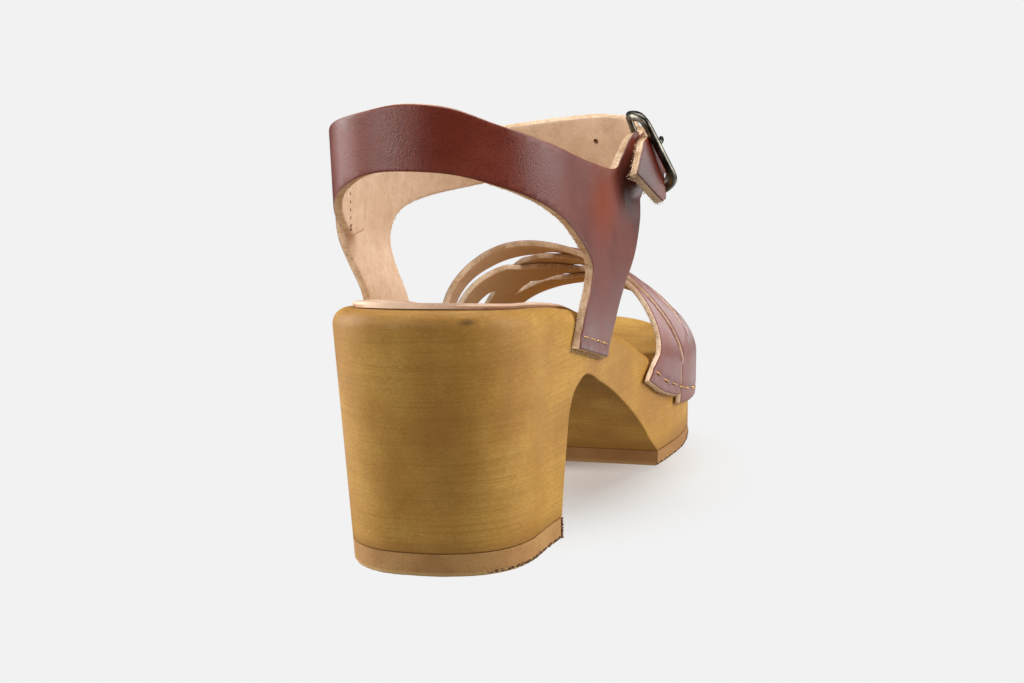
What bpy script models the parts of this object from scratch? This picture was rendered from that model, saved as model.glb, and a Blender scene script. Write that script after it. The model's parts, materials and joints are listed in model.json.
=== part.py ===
"""Wooden clog sandal for the right foot, heel at -Y, toe at +Y, standing on Z = 0.

Sizes are in millimetres in a working frame: x to the outer side of the foot, y from the back of
the heel to the toe, z up from the floor.  The last step moves all pieces so that the middle of
the box is over the origin.
"""
import math
from bisect import bisect_right
from collections import namedtuple

import bmesh
import bpy
from mathutils import Vector

MM = 0.001

# Sole: one block of wood with a block heel.
SOLE_LENGTH = 243.5
HEEL_BACK_X = -2.8
TOE_TIP_X = -8.0
SIDE_TAPER = 0.036
RIM_RADIUS = 5.0
FOOTBED_DISH = 2.6
LIFT_THICKNESS = 6.9
OUTSOLE_THICKNESS = 5.2
HEEL_BREAST_Y = 47.5
TREAD_START_Y = 139.4
TOE_SPRING_START_Y = 200.0
TOE_SPRING = 7.0
EDGE_ROUND = 0.9

# Leather.
LEATHER = 2.8
SEAT_GAP = 0.3
SOCK_THICKNESS = 1.8
SOCK_FRONT_Y = 92.0
WEAVE_RISE = 1.2

# Buckle on the outer side.
BUCKLE_CENTRE = Vector((39.5, 123.0, 113.0))
BUCKLE_FORWARD = Vector((-0.33, 0.93, 0.18))
BUCKLE_UP = Vector((-0.31, -0.08, 0.947))
RING_HALF_LENGTH = 10.5
RING_HALF_HEIGHT = 14.0
RING_CORNER = 0.55
RING_BOW = 5.0
RING_BOW_POWER = 6
RING_SLANT = 0.20
RING_SWING = 0.04
RING_BOW_SKEW = 0.3
RING_LIFT = 0.6
RING_RADIUS = 1.45
BAR_RADIUS = 1.1
FOLD_RADIUS = 2.8
FOLD_HALF_HEIGHT = 7.5
PRONG_RADIUS = 0.75
PRONG_HOLE_FORWARD = 3.8
PRONG_HOLE_RADIUS = 2.2
EYE_SLOT_HALF = 1.5
WELD = 0.00005

# One row for each section of the sole: x of its inner and outer side, height of its rim.
Section = namedtuple("Section", "y inner outer rim")
SOLE = (
    Section(0.0, -31.4, 32.6, 79.7),
    Section(34.0, -31.4, 32.8, 75.6),
    Section(64.0, -29.8, 34.9, 69.9),
    Section(82.0, -29.4, 35.1, 64.2),
    Section(101.0, -30.7, 35.2, 57.2),
    Section(120.0, -35.2, 36.6, 48.6),
    Section(130.0, -38.0, 37.6, 43.4),
    Section(139.0, -40.4, 38.4, 39.4),
    Section(150.0, -43.2, 39.5, 36.0),
    Section(163.0, -45.4, 40.2, 34.0),
    Section(175.0, -46.2, 40.2, 33.0),
    Section(195.0, -46.2, 40.2, 32.6),
    Section(243.5, -46.2, 40.2, 35.5),
)

# How the outline turns round the heel and round the toe on the inner (-1) and outer (1) side.
Turn = namedtuple("Turn", "depth power")
HEEL_TURN = {-1: Turn(34.0, 2.27), 1: Turn(30.0, 2.44)}
TOE_TURN = {-1: Turn(68.5, 2.4), 1: Turn(80.5, 1.8)}

# Underside of the wood between the heel and the forefoot.
Arch = namedtuple("Arch", "y z")
ARCH = (
    Arch(47.5, LIFT_THICKNESS + SEAT_GAP),
    Arch(48.6, 15.0),
    Arch(51.4, 30.0),
    Arch(53.4, 39.0),
    Arch(58.5, 45.6),
    Arch(67.5, 48.3),
    Arch(83.5, 42.6),
    Arch(98.2, 36.0),
    Arch(112.0, 27.8),
    Arch(125.3, 17.6),
    Arch(132.3, 10.9),
    Arch(TREAD_START_Y, OUTSOLE_THICKNESS + SEAT_GAP),
)

# Top of the foot over the forefoot: where the ridge is and how high the leather's middle goes.
Instep = namedtuple("Instep", "y ridge top")
INSTEP = (
    Instep(110.0, -9.0, 84.6),
    Instep(130.0, -10.0, 82.1),
    Instep(150.0, -10.5, 78.0),
    Instep(170.0, -10.0, 70.6),
    Instep(190.0, -8.5, 61.6),
    Instep(212.0, -7.0, 53.6),
)
INNER_FULLNESS = 2.15
OUTER_FULLNESS = 1.8
WALL_PER_STEP = 20.0

# Forefoot straps: t runs from the inner side (-1 at the rim) over the ridge (0) to the outer
# side (1).  Each row gives the rear edge, the slit and the front edge, and how far the rear and
# the front strip are raised or lowered in the weave.
Strap = namedtuple("Strap", "t rear slit_rear slit_front front rise_rear rise_front")
STRAP_OVER = (
    Strap(-1.60, 126.0, 142.5, 146.0, 160.0, 0.0, 0.0),
    Strap(-1.00, 128.5, 144.5, 150.0, 166.0, 0.0, 0.0),
    Strap(-0.70, 132.0, 148.0, 158.0, 174.0, 0.0, -0.4),
    Strap(-0.35, 144.0, 160.5, 170.0, 186.0, 0.3, -1.0),
    Strap(-0.15, 147.0, 163.5, 176.5, 192.5, 0.6, -1.0),
    Strap(0.10, 149.0, 165.5, 180.0, 196.0, 1.0, 0.6),
    Strap(0.40, 151.0, 167.5, 178.0, 194.0, 1.0, 1.0),
    Strap(0.70, 153.5, 169.0, 175.0, 191.0, 1.0, 0.8),
    Strap(0.95, 156.0, 170.5, 172.5, 188.0, 0.4, 0.2),
    Strap(1.10, 156.0, 170.5, 172.0, 187.0, 0.0, 0.0),
    Strap(1.75, 154.0, 170.0, 171.5, 186.0, 0.0, 0.0),
)
STRAP_UNDER = (
    Strap(-1.60, 187.0, 198.5, 200.0, 211.0, 0.0, 0.0),
    Strap(-1.00, 188.0, 199.0, 200.5, 212.0, 0.0, 0.0),
    Strap(-0.60, 184.5, 198.0, 200.5, 212.0, 0.5, 0.0),
    Strap(-0.35, 178.5, 194.0, 199.0, 211.0, 1.0, -0.3),
    Strap(-0.15, 171.5, 188.0, 196.0, 208.5, 1.0, -0.8),
    Strap(0.10, 163.5, 180.0, 189.0, 202.5, 0.0, -1.0),
    Strap(0.40, 152.5, 168.5, 175.0, 189.0, -1.0, -1.0),
    Strap(0.70, 142.0, 157.0, 159.5, 172.5, -1.0, -1.0),
    Strap(0.90, 136.5, 150.0, 151.5, 161.5, -0.6, -0.6),
    Strap(1.00, 133.5, 146.5, 148.0, 156.0, 0.0, 0.0),
    Strap(1.60, 123.5, 137.0, 138.5, 149.5, 0.0, 0.0),
)
SLIT_OVER = (-1.0, 0.85)
SLIT_UNDER = (-0.5, 0.55)
STRAP_STATIONS = 44

# Band round the back of the heel: half of an oval, then straight along the outer side.
BAND_MIDDLE_X = 2.2
BAND_HALF_WIDTH = 34.2
BAND_BACK_Y = 3.5
BAND_DEPTH = 52.0
BAND_POWER = 2.5
Knot = namedtuple("Knot", "x y")
BAND_SIDE = (Knot(37.0, 80.0), Knot(37.8, 100.0), Knot(38.6, 115.0), Knot(39.4, 130.0))
BAND_LEAN_FROM_Y = 70.0
BAND_LEAN_TO_Y = 118.0
BAND_LEAN = 0.10
BAND_LEAN_Z = 92.0

# Inner leg and strap over the instep, at the height of the middle of the strap.
ANKLE = (
    Knot(-33.5, 22.0),
    Knot(-35.2, 40.0),
    Knot(-35.8, 60.0),
    Knot(-35.6, 80.0),
    Knot(-34.2, 98.0),
    Knot(-29.0, 116.0),
    Knot(-18.0, 131.0),
    Knot(-2.0, 139.5),
    Knot(14.0, 141.5),
    Knot(28.0, 139.0),
    Knot(38.3, 133.7),
    Knot(43.5, 124.4),
    Knot(45.6, 114.1),
    Knot(45.4, 105.0),
    Knot(43.8, 96.0),
    Knot(41.5, 87.0),
)
ANKLE_MIDDLE_Z = 113.0

# How the strap lies in the buckle: distance in front of the bar, height of its middle over the bar.
Lie = namedtuple("Lie", "forward out")
STRAP_LIE = (
    Lie(-32.0, -9.0),
    Lie(-25.0, -4.8),
    Lie(-20.0, -2.0),
    Lie(-15.0, 0.7),
    Lie(-9.0, 3.1),
    Lie(0.0, 4.95),
    Lie(7.0, 2.1),
    Lie(12.0, 0.6),
    Lie(22.0, 0.4),
)
STRAP_BAR_U = 185.5
BAND_BAR_U = 139.0
STRAP_TURN_START = 30.0
STRAP_TURN_LENGTH = 18.0
TAB_TURN_U = 118.0
TAB_TURN_LENGTH = 17.0
TAB_TURN_Z = 98.5
TAB_TURN_HEIGHT = 7.0
Lean = namedtuple("Lean", "u slope")
ANKLE_LEAN = (Lean(0, 0.0), Lean(60, 0.06), Lean(100, 0.2), Lean(140, 0.42), Lean(180, 0.36), Lean(230, 0.33))
LEG_BLEND = 26.0

# Flat patterns: u along the loop, z up; a corner is sharp, other rows lie on a smooth curve.
Edge = namedtuple("Edge", "u z corner")
BACK_PATTERN = (
    Edge(-63.5, 120.6, True),
    Edge(-56.5, 123.4, False),
    Edge(-45.0, 127.5, False),
    Edge(-28.0, 133.0, False),
    Edge(-11.5, 136.8, False),
    Edge(1.3, 138.9, False),
    Edge(15.0, 137.4, False),
    Edge(29.1, 131.7, False),
    Edge(50.6, 124.7, False),
    Edge(74.3, 118.3, False),
    Edge(96.5, 113.3, False),
    Edge(112.0, 111.0, False),
    Edge(119.0, 113.5, False),
    Edge(125.0, 119.5, False),
    Edge(130.0, 121.5, False),
    Edge(137.5, 121.0, True),
    Edge(137.5, 105.5, True),
    Edge(135.0, 101.0, False),
    Edge(133.0, 94.0, False),
    Edge(126.5, 82.0, False),
    Edge(114.5, 70.6, False),
    Edge(104.5, 60.5, False),
    Edge(97.0, 51.5, True),
    Edge(70.0, 59.5, True),
    Edge(76.0, 71.0, False),
    Edge(81.5, 77.6, False),
    Edge(82.6, 85.2, False),
    Edge(67.1, 96.8, False),
    Edge(46.5, 107.0, False),
    Edge(28.3, 114.2, False),
    Edge(14.2, 118.7, False),
    Edge(0.2, 119.9, False),
    Edge(-9.2, 119.2, False),
    Edge(-17.1, 116.6, False),
    Edge(-30.0, 110.5, False),
    Edge(-45.0, 101.5, False),
    Edge(-54.0, 97.0, False),
    Edge(-63.5, 97.0, True),
)
ANKLE_PATTERN = (
    Edge(20.0, 122.0, True),
    Edge(38.0, 119.5, False),
    Edge(60.0, 118.5, False),
    Edge(90.0, 119.5, False),
    Edge(115.0, 122.0, False),
    Edge(140.0, 124.4, False),
    Edge(160.0, 125.2, False),
    Edge(180.0, 120.7, False),
    Edge(192.0, 119.6, False),
    Edge(200.0, 118.4, True),
    Edge(211.0, 108.5, True),
    Edge(203.5, 97.6, True),
    Edge(198.0, 102.0, False),
    Edge(192.0, 104.9, False),
    Edge(180.0, 105.6, False),
    Edge(160.0, 106.3, False),
    Edge(135.0, 105.2, False),
    Edge(105.0, 102.2, False),
    Edge(86.0, 101.0, False),
    Edge(72.0, 99.6, False),
    Edge(61.5, 96.5, False),
    Edge(57.2, 90.0, False),
    Edge(56.5, 80.0, False),
    Edge(57.5, 68.5, False),
    Edge(60.0, 53.0, True),
    Edge(30.0, 60.0, True),
    Edge(28.5, 75.0, False),
    Edge(23.5, 86.0, False),
    Edge(19.0, 96.0, False),
    Edge(18.5, 108.0, False),
)
OUTLINE_STEP = 6.5
CELL = 9.0


def along(rows, column, at):
    """Read a column of a table at any place between its rows, without overshoot."""
    xs = [row[0] for row in rows]
    ys = [getattr(row, column) for row in rows]
    if at <= xs[0]:
        return ys[0]
    if at >= xs[-1]:
        return ys[-1]
    slopes = [(b - a) / (d - c) for a, b, c, d in zip(ys, ys[1:], xs, xs[1:])]

    def tangent(i):
        if i == 0 or i == len(xs) - 1:
            return slopes[min(i, len(slopes) - 1)]
        before, after = slopes[i - 1], slopes[i]
        return 0.0 if before * after <= 0 else 2 * before * after / (before + after)

    i = bisect_right(xs, at) - 1
    h = xs[i + 1] - xs[i]
    f = (at - xs[i]) / h
    start = ys[i] * (2 * f ** 3 - 3 * f ** 2 + 1) + tangent(i) * h * (f ** 3 - 2 * f ** 2 + f)
    end = ys[i + 1] * (3 * f ** 2 - 2 * f ** 3) + tangent(i + 1) * h * (f ** 3 - f ** 2)
    return start + end


def ease(f):
    f = min(max(f, 0.0), 1.0)
    return f * f * (3 - 2 * f)


def turn_share(f, power):
    return max(1 - min(max(f, 0.0), 1.0) ** power, 0.0) ** (1 / power)


def rim_x(y, side):
    """x of the rim of the sole on one side, round at the heel and at the toe."""
    column = "outer" if side > 0 else "inner"
    heel, toe = HEEL_TURN[side], TOE_TURN[side]
    toe_start = SOLE_LENGTH - toe.depth
    if y < heel.depth:
        end = along(SOLE, column, heel.depth)
        return HEEL_BACK_X + (end - HEEL_BACK_X) * turn_share(1 - y / heel.depth, heel.power)
    if y > toe_start:
        end = along(SOLE, column, toe_start)
        return TOE_TIP_X + (end - TOE_TIP_X) * turn_share((y - toe_start) / toe.depth, toe.power)
    return along(SOLE, column, y)


def rim_z(y):
    return along(SOLE, "rim", y)


def outline_point(y, side, inset, z):
    """A point of the sole's side: the rim outline moved in by inset along its own normal."""
    if y <= 0.0 or y >= SOLE_LENGTH:
        inward = Vector((0.0, 1.0 if y <= 0.0 else -1.0))
    else:
        step = min(0.4, y / 2, (SOLE_LENGTH - y) / 2)
        run = Vector((rim_x(y + step, side) - rim_x(y - step, side), 2 * step)).normalized()
        inward = Vector((-side * run.y, side * run.x))
    return Vector((rim_x(y, side) + inward.x * inset, y + inward.y * inset, z))


def spring(y):
    """How far the underside has left the floor towards the toe."""
    f = max(y - TOE_SPRING_START_Y, 0.0) / (SOLE_LENGTH - TOE_SPRING_START_Y)
    return TOE_SPRING * f * f


def under_z(y):
    if y <= HEEL_BREAST_Y:
        return LIFT_THICKNESS + SEAT_GAP
    if y >= TREAD_START_Y:
        return OUTSOLE_THICKNESS + SEAT_GAP + spring(y)
    return along(ARCH, "z", y)


def footbed_z(y, across):
    """Height of the footbed; across runs from -1 at one edge to 1 at the other."""
    ends = ease(y / 30.0) * ease((SOLE_LENGTH - y) / 30.0)
    return rim_z(y) - FOOTBED_DISH * ends * (1 - across * across)


def new_object(name, bm, material):
    bmesh.ops.remove_doubles(bm, verts=bm.verts, dist=0.001)
    bmesh.ops.recalc_face_normals(bm, faces=bm.faces)
    bmesh.ops.scale(bm, vec=(MM, MM, MM), verts=bm.verts)
    mesh = bpy.data.meshes.new(name)
    bm.to_mesh(mesh)
    bm.free()
    thing = bpy.data.objects.new(name, mesh)
    bpy.context.scene.collection.objects.link(thing)
    mesh.materials.append(material)
    return thing


def loft(rings):
    """Join closed rings of points into one closed body; the end rings are filled."""
    bm = bmesh.new()
    loops = [[bm.verts.new(p) for p in ring] for ring in rings]
    for low, high in zip(loops, loops[1:]):
        for i in range(len(low)):
            j = (i + 1) % len(low)
            bm.faces.new((low[i], low[j], high[j], high[i]))
    for ring in (loops[0], loops[-1]):
        if (ring[0].co - ring[len(ring) // 2].co).length > 0.01:
            bm.faces.new(ring)
    return bm


def stations(start, end, count, extra=()):
    """Places along the sole, closer together where it turns round the heel and the toe."""
    ys = [SOLE_LENGTH * (1 - math.cos(math.pi * k / count)) / 2 for k in range(count + 1)]
    kept = [y for y in ys if start < y < end and all(abs(y - e) > 1.6 for e in extra)]
    return sorted([start, end] + kept + [e for e in extra if start < e < end])


def make_wood_sole(material):
    rounding = [math.radians(a) for a in (0, 30, 60, 90)]
    spread = (-0.72, -0.36, 0.0, 0.36, 0.72)
    rings = []
    for y in stations(0.0, SOLE_LENGTH, 46, [row.y for row in ARCH]):
        low, high = under_z(y), rim_z(y)
        wall = [low, low + (high - RIM_RADIUS - low) * 0.5]
        side = [(SIDE_TAPER * (high - z), z) for z in wall]
        turn = [(RIM_RADIUS * (1 - math.cos(a)), high - RIM_RADIUS * (1 - math.sin(a))) for a in rounding]
        outer = [outline_point(y, 1, inset, z) for inset, z in side + turn]
        inner = [outline_point(y, -1, inset, z) for inset, z in side + turn]
        bed = []
        for f in spread:
            p = outer[-1].lerp(inner[-1], (f + 1) / 2)
            bed.append(Vector((p.x, p.y, footbed_z(y, f))))
        base = [inner[0].lerp(outer[0], f) for f in (1 / 3, 2 / 3)]
        rings.append(outer + bed + inner[::-1] + base)
    return new_object("wood_sole", loft(rings), material)


def make_layer(name, start, end, thickness, lowest, material):
    """A walking layer under the wood, its lower edge rounded."""
    rings = []
    for y in stations(start, end, 40):
        floor = lowest(y)
        rows = [(EDGE_ROUND, floor), (0.0, floor + EDGE_ROUND), (0.0, floor + thickness)]
        sides = []
        for side in (1, -1):
            sides.append([outline_point(y, side, SIDE_TAPER * (rim_z(y) - z) + inset, z) for inset, z in rows])
        rings.append(sides[0] + sides[1][::-1])
    return new_object(name, loft(rings), material)


def make_heel_sock(material):
    """The leather pad on the heel seat; it lies on the footbed inside the rim."""
    spread = (-0.95, -0.72, -0.36, 0.0, 0.36, 0.72, 0.95)
    rings = []
    for y in stations(0.0, SOCK_FRONT_Y, 46, [row.y for row in ARCH]):
        right = outline_point(y, 1, RIM_RADIUS, 0.0)
        left = outline_point(y, -1, RIM_RADIUS, 0.0)
        ring = []
        for level, order in ((0.0, 1), (SOCK_THICKNESS, -1)):
            for f in spread[::order]:
                p = right.lerp(left, (f + 1) / 2)
                ring.append(Vector((p.x, p.y, footbed_z(y, f) + SEAT_GAP + level)))
        rings.append(ring)
    return new_object("heel_sock", loft(rings), material)


def arch_point(t, y):
    """The middle of the leather over the forefoot, and down the side of the sole beyond |t| = 1."""
    side = 1 if t > 0 else -1
    slope = (rim_x(y + 0.5, side) - rim_x(y - 0.5, side)) / 1.0
    off = (SEAT_GAP + LEATHER / 2) * math.hypot(1.0, slope)
    high = rim_z(y)
    wall = rim_x(y, side) + side * off
    if abs(t) >= 1:
        drop = (abs(t) - 1) * WALL_PER_STEP
        return Vector((wall - side * SIDE_TAPER * drop, y, high - drop))
    ridge = along(INSTEP, "ridge", y)
    rise = along(INSTEP, "top", y) - high
    power = 2 / (OUTER_FULLNESS if side > 0 else INNER_FULLNESS)
    angle = math.pi / 2 * (1 - abs(t))
    return Vector((ridge + (wall - ridge) * math.cos(angle) ** power, y, high + rise * math.sin(angle) ** power))


def arch_wrap(t, y, out):
    run = arch_point(t + 0.004, y) - arch_point(t - 0.004, y)
    forward = arch_point(t, y + 0.5) - arch_point(t, y - 0.5)
    return arch_point(t, y) + run.cross(forward).normalized() * out


def make_strap(name, rows, slit, material):
    """One forefoot strap with its slit, bent over the arch and raised or lowered at the crossings."""
    columns = 7
    bm = bmesh.new()
    bmesh.ops.create_grid(bm, x_segments=STRAP_STATIONS, y_segments=columns, size=1.0)
    first, last = rows[0].t, rows[-1].t
    cut = []
    for face in bm.faces:
        place = face.calc_center_median()
        t = first + (last - first) * (place.x + 1) / 2
        if slit[0] < t < slit[1] and abs(place.y) < 1 / columns:
            cut.append(face)
    bmesh.ops.delete(bm, geom=cut, context="FACES")
    made = bmesh.ops.extrude_face_region(bm, geom=bm.faces[:])
    for item in made["geom"]:
        if isinstance(item, bmesh.types.BMVert):
            item.co.z = 1.0
    for vert in bm.verts:
        t = first + (last - first) * (vert.co.x + 1) / 2
        column = round((vert.co.y + 1) / 2 * columns)
        rear_strip = column <= columns // 2
        names = ("rear", "slit_rear") if rear_strip else ("slit_front", "front")
        share = (column if rear_strip else column - columns // 2 - 1) / (columns // 2)
        y = along(rows, names[0], t) * (1 - share) + along(rows, names[1], t) * share
        rise = along(rows, "rise_rear" if rear_strip else "rise_front", t) * WEAVE_RISE
        out = rise + (LEATHER / 2 if vert.co.z > 0.5 else -LEATHER / 2)
        vert.co = arch_wrap(t, y, out)
    return new_object(name, bm, material)


def polyline(knots, step):
    """Points along a smooth curve through the knots, with their distances from its start."""
    points = []
    for i in range(len(knots) - 1):
        p0, p1, p2, p3 = (knots[min(max(i + k, 0), len(knots) - 1)] for k in (-1, 0, 1, 2))
        for k in range(step):
            f = k / step
            points.append(curve_point(p0, p1, p2, p3, f))
    points.append(Vector(knots[-1]))
    lengths = [0.0]
    for a, b in zip(points, points[1:]):
        lengths.append(lengths[-1] + (b - a).length)
    return points, lengths


def curve_point(p0, p1, p2, p3, f):
    p0, p1, p2, p3 = (Vector(p) for p in (p0, p1, p2, p3))
    bend = (2 * p0 - 5 * p1 + 4 * p2 - p3) * f * f + (3 * p1 - p0 - 3 * p2 + p3) * f ** 3
    return 0.5 * (2 * p1 + (p2 - p0) * f + bend)


def band_half(side):
    knots = []
    for k in range(15):
        a = math.pi / 2 * k / 14
        x = BAND_MIDDLE_X + side * BAND_HALF_WIDTH * math.sin(a) ** (2 / BAND_POWER)
        y = BAND_BACK_Y + BAND_DEPTH * (1 - max(math.cos(a), 0.0) ** (2 / BAND_POWER))
        knots.append((x, y))
    if side > 0:
        knots += [tuple(k) for k in BAND_SIDE]
    return polyline(knots, 6)


BAND_OUTER = band_half(1)
BAND_INNER = band_half(-1)
ANKLE_LOOP = polyline([tuple(k) for k in ANKLE], 12)


def on_path(path, distance):
    points, lengths = path
    i = min(max(bisect_right(lengths, distance) - 1, 0), len(points) - 2)
    f = (distance - lengths[i]) / (lengths[i + 1] - lengths[i])
    return points[i].lerp(points[i + 1], f)


def path_frame(path, distance):
    run = on_path(path, distance + 1.5) - on_path(path, distance - 1.5)
    run.normalize()
    return on_path(path, distance), run


def beside_sole(y, side, z):
    slope = (rim_x(y + 0.5, side) - rim_x(y - 0.5, side)) / 1.0
    off = (SEAT_GAP + LEATHER / 2) * math.hypot(1.0, slope)
    return rim_x(y, side) + side * (off - SIDE_TAPER * max(rim_z(y) - z, 0.0))


def on_leg(place, out_dir, side, z):
    """Bring the wall to the side of the sole where a leg comes down to it."""
    share = 1 - ease((z - rim_z(place.y) - 1.0) / LEG_BLEND)
    target = Vector((beside_sole(place.y, side, z), place.y))
    bent = place.lerp(target, share)
    turn = out_dir.lerp(Vector((float(side), 0.0)), share).normalized()
    return bent, turn


def buckle_axes():
    forward = BUCKLE_FORWARD.normalized()
    up = (BUCKLE_UP - forward * BUCKLE_UP.dot(forward)).normalized()
    return forward, up, forward.cross(up)


def buckle_place(forward_mm, up_mm, out_mm):
    forward, up, out = buckle_axes()
    return BUCKLE_CENTRE + forward * forward_mm + up * up_mm + out * out_mm


def height_in_buckle(z, ahead):
    return z - BUCKLE_CENTRE.z - buckle_axes()[0].z * ahead


def back_wrap(u, z, out):
    side = 1 if u >= 0 else -1
    path = BAND_OUTER if side > 0 else BAND_INNER
    if abs(u) < 1.5:
        place = Vector((BAND_MIDDLE_X + u, BAND_BACK_Y))
        out_dir = Vector((0.0, -1.0))
    else:
        place, run = path_frame(path, abs(u))
        out_dir = Vector((side * run.y, -side * run.x))
    if side > 0:
        place, out_dir = on_leg(place, out_dir, 1, z) if place.y > 45 else (place, out_dir)
        lean = BAND_LEAN * ease((place.y - BAND_LEAN_FROM_Y) / (BAND_LEAN_TO_Y - BAND_LEAN_FROM_Y))
        place = place - out_dir * lean * max(z - BAND_LEAN_Z, 0.0)
    flat = place + out_dir * out
    wall = Vector((flat.x, flat.y, z))
    share = ease((u - TAB_TURN_U) / TAB_TURN_LENGTH) * ease((z - TAB_TURN_Z) / TAB_TURN_HEIGHT)
    if share == 0.0:
        return wall
    ahead = u - BAND_BAR_U
    return wall.lerp(buckle_place(ahead, height_in_buckle(z, ahead), out), share)


def ankle_wrap(u, z, out):
    place, run = path_frame(ANKLE_LOOP, u)
    out_dir = Vector((-run.y, run.x))
    lean = along(ANKLE_LEAN, "slope", u)
    place = place + out_dir * lean * (ANKLE_MIDDLE_Z - z)
    if u < 75:
        place, out_dir = on_leg(place, out_dir, -1, z)
    tilt = 1 / math.hypot(1.0, lean)
    flat = place + out_dir * out * tilt
    wall = Vector((flat.x, flat.y, z + out * lean * tilt))
    ahead = STRAP_BAR_U - u
    share = 1 - ease((ahead - STRAP_TURN_START + STRAP_TURN_LENGTH) / STRAP_TURN_LENGTH)
    if share == 0.0:
        return wall
    lie = along(STRAP_LIE, "out", ahead)
    return wall.lerp(buckle_place(ahead, height_in_buckle(z, ahead), lie + out), share)


def pattern_outline(rows):
    points = []
    count = len(rows)
    for i, row in enumerate(rows):
        following = rows[(i + 1) % count]
        before = row if row.corner else rows[i - 1]
        after = following if following.corner else rows[(i + 2) % count]
        p1, p2 = (row.u, row.z), (following.u, following.z)
        steps = max(1, round(math.dist(p1, p2) / OUTLINE_STEP))
        p0 = (2 * p1[0] - p2[0], 2 * p1[1] - p2[1]) if row.corner else (before.u, before.z)
        p3 = (2 * p2[0] - p1[0], 2 * p2[1] - p1[1]) if following.corner else (after.u, after.z)
        points += [curve_point(p0, p1, p2, p3, k / steps) for k in range(steps)]
    return points


def make_pattern(name, rows, wrap, material):
    """Cut a flat piece of leather, then bend it round the ankle."""
    bm = bmesh.new()
    corners = [bm.verts.new((p.x, p.y, -LEATHER / 2)) for p in pattern_outline(rows)]
    face = bm.faces.new(corners)
    made = bmesh.ops.extrude_face_region(bm, geom=[face])
    top = [item for item in made["geom"] if isinstance(item, bmesh.types.BMVert)]
    bmesh.ops.translate(bm, vec=(0, 0, LEATHER), verts=top)
    for axis in (0, 1):
        low = min(v.co[axis] for v in bm.verts)
        high = max(v.co[axis] for v in bm.verts)
        normal = Vector((1, 0, 0)) if axis == 0 else Vector((0, 1, 0))
        cuts = max(1, round((high - low) / CELL))
        for k in range(1, cuts):
            at = normal * (low + (high - low) * (k + 0.37 * 0.1) / cuts)
            geom = bm.verts[:] + bm.edges[:] + bm.faces[:]
            bmesh.ops.bisect_plane(bm, geom=geom, dist=0.05, plane_co=at, plane_no=normal)
    for vert in bm.verts:
        vert.co = wrap(vert.co.x, vert.co.y, vert.co.z)
    return new_object(name, bm, material)


def sweep(points, radius, sides, closed):
    """A round bar along a line of points."""
    rings = []
    count = len(points)
    for i, point in enumerate(points):
        before = points[i - 1] if closed or i > 0 else point
        after = points[(i + 1) % count] if closed or i < count - 1 else point
        run = (after - before).normalized()
        side = run.cross(buckle_axes()[2] if abs(run.dot(buckle_axes()[2])) < 0.9 else buckle_axes()[1]).normalized()
        lift = side.cross(run)
        angles = [2 * math.pi * k / sides for k in range(sides)]
        rings.append([point + side * radius * math.cos(a) + lift * radius * math.sin(a) for a in angles])
    bm = bmesh.new()
    loops = [[bm.verts.new(p) for p in ring] for ring in rings]
    for low, high in zip(loops, loops[1:] + ([loops[0]] if closed else [])):
        for i in range(sides):
            j = (i + 1) % sides
            bm.faces.new((low[i], low[j], high[j], high[i]))
    if not closed:
        bm.faces.new(loops[0])
        bm.faces.new(loops[-1])
    return bm


def sweep_flat(points, closed):
    """A round wire that stays in the plane across the bar."""
    up = buckle_axes()[1]
    sides = 8
    count = len(points)
    bm = bmesh.new()
    loops = []
    for i, point in enumerate(points):
        before = points[i - 1] if closed or i > 0 else point
        after = points[(i + 1) % count] if closed or i < count - 1 else point
        across = (after - before).normalized().cross(up)
        angles = [2 * math.pi * (k + 0.5) / sides for k in range(sides)]
        ring = [point + (across * math.cos(a) + up * math.sin(a)) * PRONG_RADIUS for a in angles]
        loops.append([bm.verts.new(p) for p in ring])
    for low, high in zip(loops, loops[1:] + ([loops[0]] if closed else [])):
        for i in range(sides):
            j = (i + 1) % sides
            bm.faces.new((low[i], low[j], high[j], high[i]))
    if not closed:
        bm.faces.new(loops[0])
        bm.faces.new(loops[-1])
    return bm


def ring_point(angle):
    """A point of the ring: an oval with full corners, bowed outward between the ends of the bar.

    It hangs a little askew: its front side is lower than the rear one and swung in round the bar,
    and it stands out more at its lower end.
    """
    c, d = math.cos(angle), math.sin(angle)
    forward = math.copysign(abs(c) ** RING_CORNER, c) * RING_HALF_LENGTH
    share = math.copysign(abs(d) ** RING_CORNER, d)
    bow = RING_BOW * (1 - abs(d) ** RING_BOW_POWER) * (1 - RING_BOW_SKEW * share)
    height = share * RING_HALF_HEIGHT - RING_SLANT * forward
    return buckle_place(forward, height, RING_LIFT + bow - RING_SWING * forward)


# Side view of the prong: from its eye on the bar, out through the strap, over the front of the ring.
Prong = namedtuple("Prong", "forward out")
PRONG = (
    Prong(0.0, 2.15),
    Prong(1.9, 2.0),
    Prong(3.2, 2.9),
    Prong(3.9, 4.6),
    Prong(4.6, 6.1),
    Prong(6.8, 7.3),
    Prong(9.8, 7.6),
    Prong(11.8, 7.3),
)


def weld(target):
    last = target.modifiers.new("Weld", "WELD")
    last.merge_threshold = WELD


def join(target, helper, operation="UNION"):
    cut = target.modifiers.new(operation.title(), "BOOLEAN")
    cut.operation = operation
    cut.solver = "EXACT"
    cut.object = helper
    helper.hide_render = True
    helper.display_type = "WIRE"
    return helper


def make_buckle(brass):
    ring = sweep([ring_point(2 * math.pi * k / 28) for k in range(28)], RING_RADIUS, 8, True)
    frame = new_object("buckle_frame", ring, brass)
    ends = [buckle_place(0.0, s * (RING_HALF_HEIGHT - 0.2), 0.0) for s in (-1, 1)]
    join(frame, new_object("bar", sweep(ends, BAR_RADIUS, 10, False), brass))
    return frame


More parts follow.
